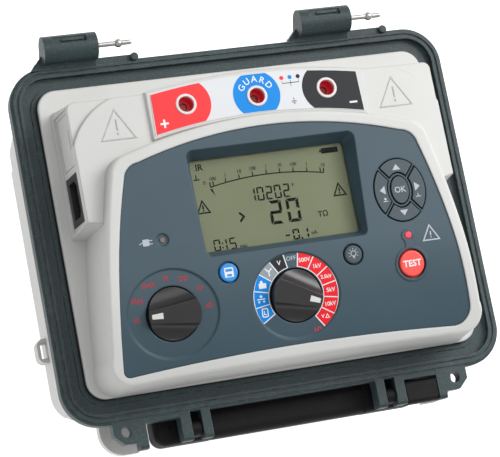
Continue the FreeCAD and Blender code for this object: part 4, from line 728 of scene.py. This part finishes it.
def display_art():
    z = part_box("display_module")[1].z / MM
    place = flat(z)
    dark, dim = Art(), Art()
    steps = 40
    dark.line([(-42.5 + 81.0 * i / steps, scale_y(-42.5 + 81.0 * i / steps)) for i in range(steps + 1)], 0.8)
    ticks = [-31.2, -21.4, -11.8, -2.1, 7.4, 17.0, 26.6]
    for x in ticks:
        dark.line([(x, scale_y(x) + 0.4), (x + 0.1, scale_y(x) + 3.0)], 0.8)
    for x in (-42.2, -40.0, 36.1, 38.4):
        dark.line([(x, scale_y(x) + 0.4), (x, scale_y(x) + 3.4)], 0.8)
    for i, x in enumerate([-40.6] + ticks + [37.8]):
        word = ("100", "1", "10", "100", "1", "10", "100", "1", "10")[i]
        dim.text(word, x + 0.6, scale_y(x) + 5.2, 3.3, 0.0, 0.07)
    dim.text("0", -46.0, 21.4, 3.4, 0.0, 0.07)
    dark.poly([(-42.9, 17.0), (-40.0, 12.0), (-41.2, 17.0)][::-1])
    dark.text("IR", -47.8, 32.2, 6.0, 0.0, 0.14)
    dark.line([(-53.0, 24.2), (-48.8, 24.2)], 0.8)
    dark.line([(-50.9, 24.7), (-50.9, 27.6)], 0.8)
    for i, char in enumerate("10202"):
        digit(dark, char, -17.4 + 6.1 * i, 4.7, 4.9, 9.4, 1.15)
    dim.text("V", 14.6, 12.6, 3.2, 0.0, 0.08)
    digit(dark, "2", -5.2, -12.6, 9.2, 16.4, 2.2)
    digit(dark, "0", 7.2, -12.6, 9.2, 16.4, 2.2)
    dark.line([(-26.2, -1.4), (-23.3, -4.4), (-26.4, -7.6)], 1.4)
    dark.text("TΩ", 31.9, -9.9, 5.4, 0.0, 0.10)
    digit(dark, "-", 2.5, -24.8, 3.8, 7.4, 1.1)
    digit(dark, "0", 8.0, -24.8, 4.8, 7.4, 1.2)
    dark.disc(14.2, -24.3, 0.75)
    digit(dark, "1", 14.4, -24.8, 4.8, 7.4, 1.2)
    dim.text("nA", 23.2, -21.6, 3.6, 0.0, 0.08)
    digit(dark, "0", -47.6, -25.2, 4.6, 7.9, 1.0)
    dark.disc(-41.4, -20.2, 0.55)
    dark.disc(-41.6, -23.2, 0.55)
    digit(dark, "1", -42.9, -25.2, 4.6, 7.9, 1.0)
    digit(dark, "5", -36.6, -25.2, 4.6, 7.9, 1.0)
    dim.text("min", -27.4, -24.0, 3.4, 0.0, 0.08)
    for x, y in ((-50.0, 4.8), (46.6, 4.6)):
        dark.loop([(x - 4.3, y - 3.3), (x + 4.3, y - 3.3), (x, y + 4.8)], 1.0)
        dark.line([(x, y + 1.9), (x, y - 0.7)], 1.1)
        dark.line([(x, y - 1.3), (x, y - 2.3)], 1.1)
    dark.poly(rounded(6.0, 1.9, 0.4, 45.3, 33.0))
    dark.poly(rounded(0.6, 0.9, 0.2, 38.5, 33.0))
    dark.build("display_figures", place, INK_DARK, slot="black_plastic", top=0.04, sink=0.02, cut=0)
    dim.build("display_small_figures", place, INK_DIM, slot="black_plastic", top=0.045, sink=0.02, cut=0)


# ---- terminal label ----
def circle_through(half, side, middle):
    """Centre height and radius of the arc through (+-half, side) and (0, middle)."""
    rise = middle - side
    r = (half * half + rise * rise) / (2.0 * abs(rise))
    return middle - math.copysign(r, rise), r


def label_edge(x, half, side, middle):
    cy, r = circle_through(half, side, middle)
    return cy + math.copysign(math.sqrt(r * r - x * x), middle - side)


def label_rear(x):
    return label_edge(x, 73.2, 84.2, 90.5)


def label_front(x):
    return label_edge(x, 74.4, 55.8, 63.6)


def end_patch(sign):
    """Coloured end of the label: straight end, round inner end about the socket."""
    inset = 0.35
    cx, cy, r = SOCKET_PITCH * sign, 75.2, 17.4
    arc = []
    for i in range(61):
        a = math.radians(-90 + 180 * i / 60)
        x = cx - sign * r * math.cos(a)
        y = cy + r * math.sin(a)
        if label_front(x) + inset < y < label_rear(x) - inset:
            arc.append((x, y))
    x_front, x_rear = arc[0][0], arc[-1][0]
    end = 73.1 * sign
    front = [(x_front + (end * 1.008 - x_front) * i / 12) for i in range(13)]
    rear = [(end + (x_rear - end) * i / 12) for i in range(13)]
    pts = arc[::-1] + [(x, label_front(x) + inset) for x in front]
    pts += [(x, label_rear(x) - inset) for x in rear]
    if signed_area(pts) < 0:
        pts.reverse()
    clean = [pts[0]]
    for p in pts[1:]:
        if math.hypot(p[0] - clean[-1][0], p[1] - clean[-1][1]) > 0.05:
            clean.append(p)
    return clean


def label_art():
    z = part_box("terminal_label")[1].z / MM
    place = flat(z)
    red, blue, black, white, dark = Art(), Art(), Art(), Art(), Art()
    hole = 7.25
    red.poly(end_patch(-1), [circle(-SOCKET_PITCH, SOCKET_Y, hole)])
    black.poly(end_patch(1), [circle(SOCKET_PITCH, SOCKET_Y, hole)])
    disc = []
    for x, y in circle(0.0, 75.8, 16.6, 72):
        disc.append((x, min(max(y, label_front(x) + 0.35), label_rear(x) - 0.35)))
    blue.poly(disc, [circle(0.0, SOCKET_Y, hole)])
    for i, char in enumerate("GUARD"):
        angle = -56.0 + 28.0 * i
        x, y = clock(11.5, angle)
        white.text(char, x, 75.0 + y, 6.2, -math.radians(angle), 0.07)
    white.poly(cross(-67.0, 63.4, 2.9, 0.65))
    white.line([(64.4, 62.9), (70.0, 62.9)], 1.3)
    for x, art in ((19.4, red), (25.3, blue), (31.2, black)):
        art.disc(x, 85.2, 1.45)
    dark.line([(19.4, 83.0), (19.4, 81.3), (31.2, 81.3), (31.2, 83.0)], 0.35)
    dark.line([(25.3, 83.0), (25.3, 78.8)], 0.35)
    dark.line([(25.3, 70.9), (25.3, 68.6)], 0.4)
    for i, half in enumerate((1.9, 1.2, 0.5)):
        dark.line([(25.3 - half, 68.4 - 0.95 * i), (25.3 + half, 68.4 - 0.95 * i)], 0.4)
    red.build("print_label_red", place, INK_CORAL, slot="label_print", cut=0)
    blue.build("print_label_blue", place, INK_BLUE, slot="label_print", cut=0)
    black.build("print_label_black", place, INK_BLACK, slot="label_print", cut=0)
    white.build("print_label_words", place, INK_WHITE, top=0.08, sink=0.01, slot="white_marker", cut=0)
    dark.build("print_label_lines", place, INK_BLACK, slot="label_print", cut=0)


def deck_ridges():
    """Raised triangles with a bar and a dot, moulded on the shoulders of the deck."""
    place = flat(RIM_Z + DECK_TOP)
    ridge = Art()
    for sign in (-1, 1):
        tri = [(98.6 * sign - 11.6, 57.3), (98.6 * sign + 11.6, 57.3), (98.6 * sign, 77.6)]
        ridge.loop(tri, 0.9)
        ridge.line([(98.6 * sign, 71.0), (98.6 * sign, 63.4)], 1.0)
        ridge.line([(98.6 * sign, 61.8), (98.6 * sign, 60.4)], 1.0)
    ridge.build("deck_ridges", place, MATS["light_grey"], slot="light_grey", top=0.35, sink=0.1, cut=0)


range_ring()
mode_words()
key_art()
fascia_print()
display_art()
label_art()
deck_ridges()

# ------------------------------------------------------------------
# floor, lights, camera
# ------------------------------------------------------------------

def make_floor():
    bm = bmesh.new()
    size = 3.0
    steps = 12
    bmesh.ops.create_grid(bm, x_segments=steps, y_segments=steps, size=size)
    mesh = bpy.data.meshes.new("floor")
    bm.to_mesh(mesh)
    bm.free()
    floor = bpy.data.objects.new("floor", mesh)
    bpy.context.scene.collection.objects.link(floor)
    mat, nt, bsdf = new_material("floor_white")
    coords = nt.nodes.new("ShaderNodeTexCoord").outputs["Object"]
    soft = noise(nt, coords, 3.0, 2.0)
    pale = ramp(nt, soft, [(0.3, (0.55, 0.55, 0.55)), (0.7, (0.57, 0.57, 0.57))])
    nt.links.new(pale, bsdf.inputs["Base Color"])
    bsdf.inputs["Roughness"].default_value = 0.9
    bsdf.inputs["Emission Color"].default_value = (1.0, 1.0, 1.0, 1.0)
    bsdf.inputs["Emission Strength"].default_value = 0.8
    mesh.materials.append(mat)


def area_light(name, place, target, size, power):
    data = bpy.data.lights.new(name, "AREA")
    data.shape = "RECTANGLE"
    data.size, data.size_y = size
    data.energy = power
    lamp = bpy.data.objects.new(name, data)
    bpy.context.scene.collection.objects.link(lamp)
    lamp.location = place
    aim = Vector(target) - Vector(place)
    lamp.rotation_euler = aim.to_track_quat("-Z", "Y").to_euler()


def make_world():
    world = bpy.data.worlds.new("studio")
    bpy.context.scene.world = world
    world.use_nodes = True
    back = world.node_tree.nodes["Background"]
    back.inputs[0].default_value = (0.95, 0.97, 1.0, 1.0)
    back.inputs[1].default_value = 0.50


def make_camera():
    """Long lens above the front left corner, rolled a little."""
    data = bpy.data.cameras.new("camera")
    data.sensor_width = 36.0
    data.lens = 147.96
    data.clip_end = 20.0
    cam = bpy.data.objects.new("camera", data)
    bpy.context.scene.collection.objects.link(cam)
    right = Vector((0.9441, -0.1881, 0.2706))
    up = Vector((0.1311, 0.9677, 0.2152))
    back = right.cross(up).normalized()
    up = back.cross(right).normalized()
    right.normalize()
    rot = Matrix((right, up, back)).transposed().to_4x4()
    cam.matrix_world = Matrix.Translation((-0.4333, -0.2418, 1.4326)) @ rot
    bpy.context.scene.camera = cam


make_floor()
make_world()
make_camera()
area_light("key", (1.2, 0.5, 1.2), (0, 0, 0.1), (1.0, 1.0), 22.0)
area_light("top", (0.35, 0.45, 1.6), (0, 0, 0.1), (1.4, 1.4), 9.0)
area_light("fill", (-1.2, -0.9, 0.9), (0, 0, 0.1), (1.0, 1.0), 2.5)
bpy.context.scene.view_settings.view_transform = "Standard"
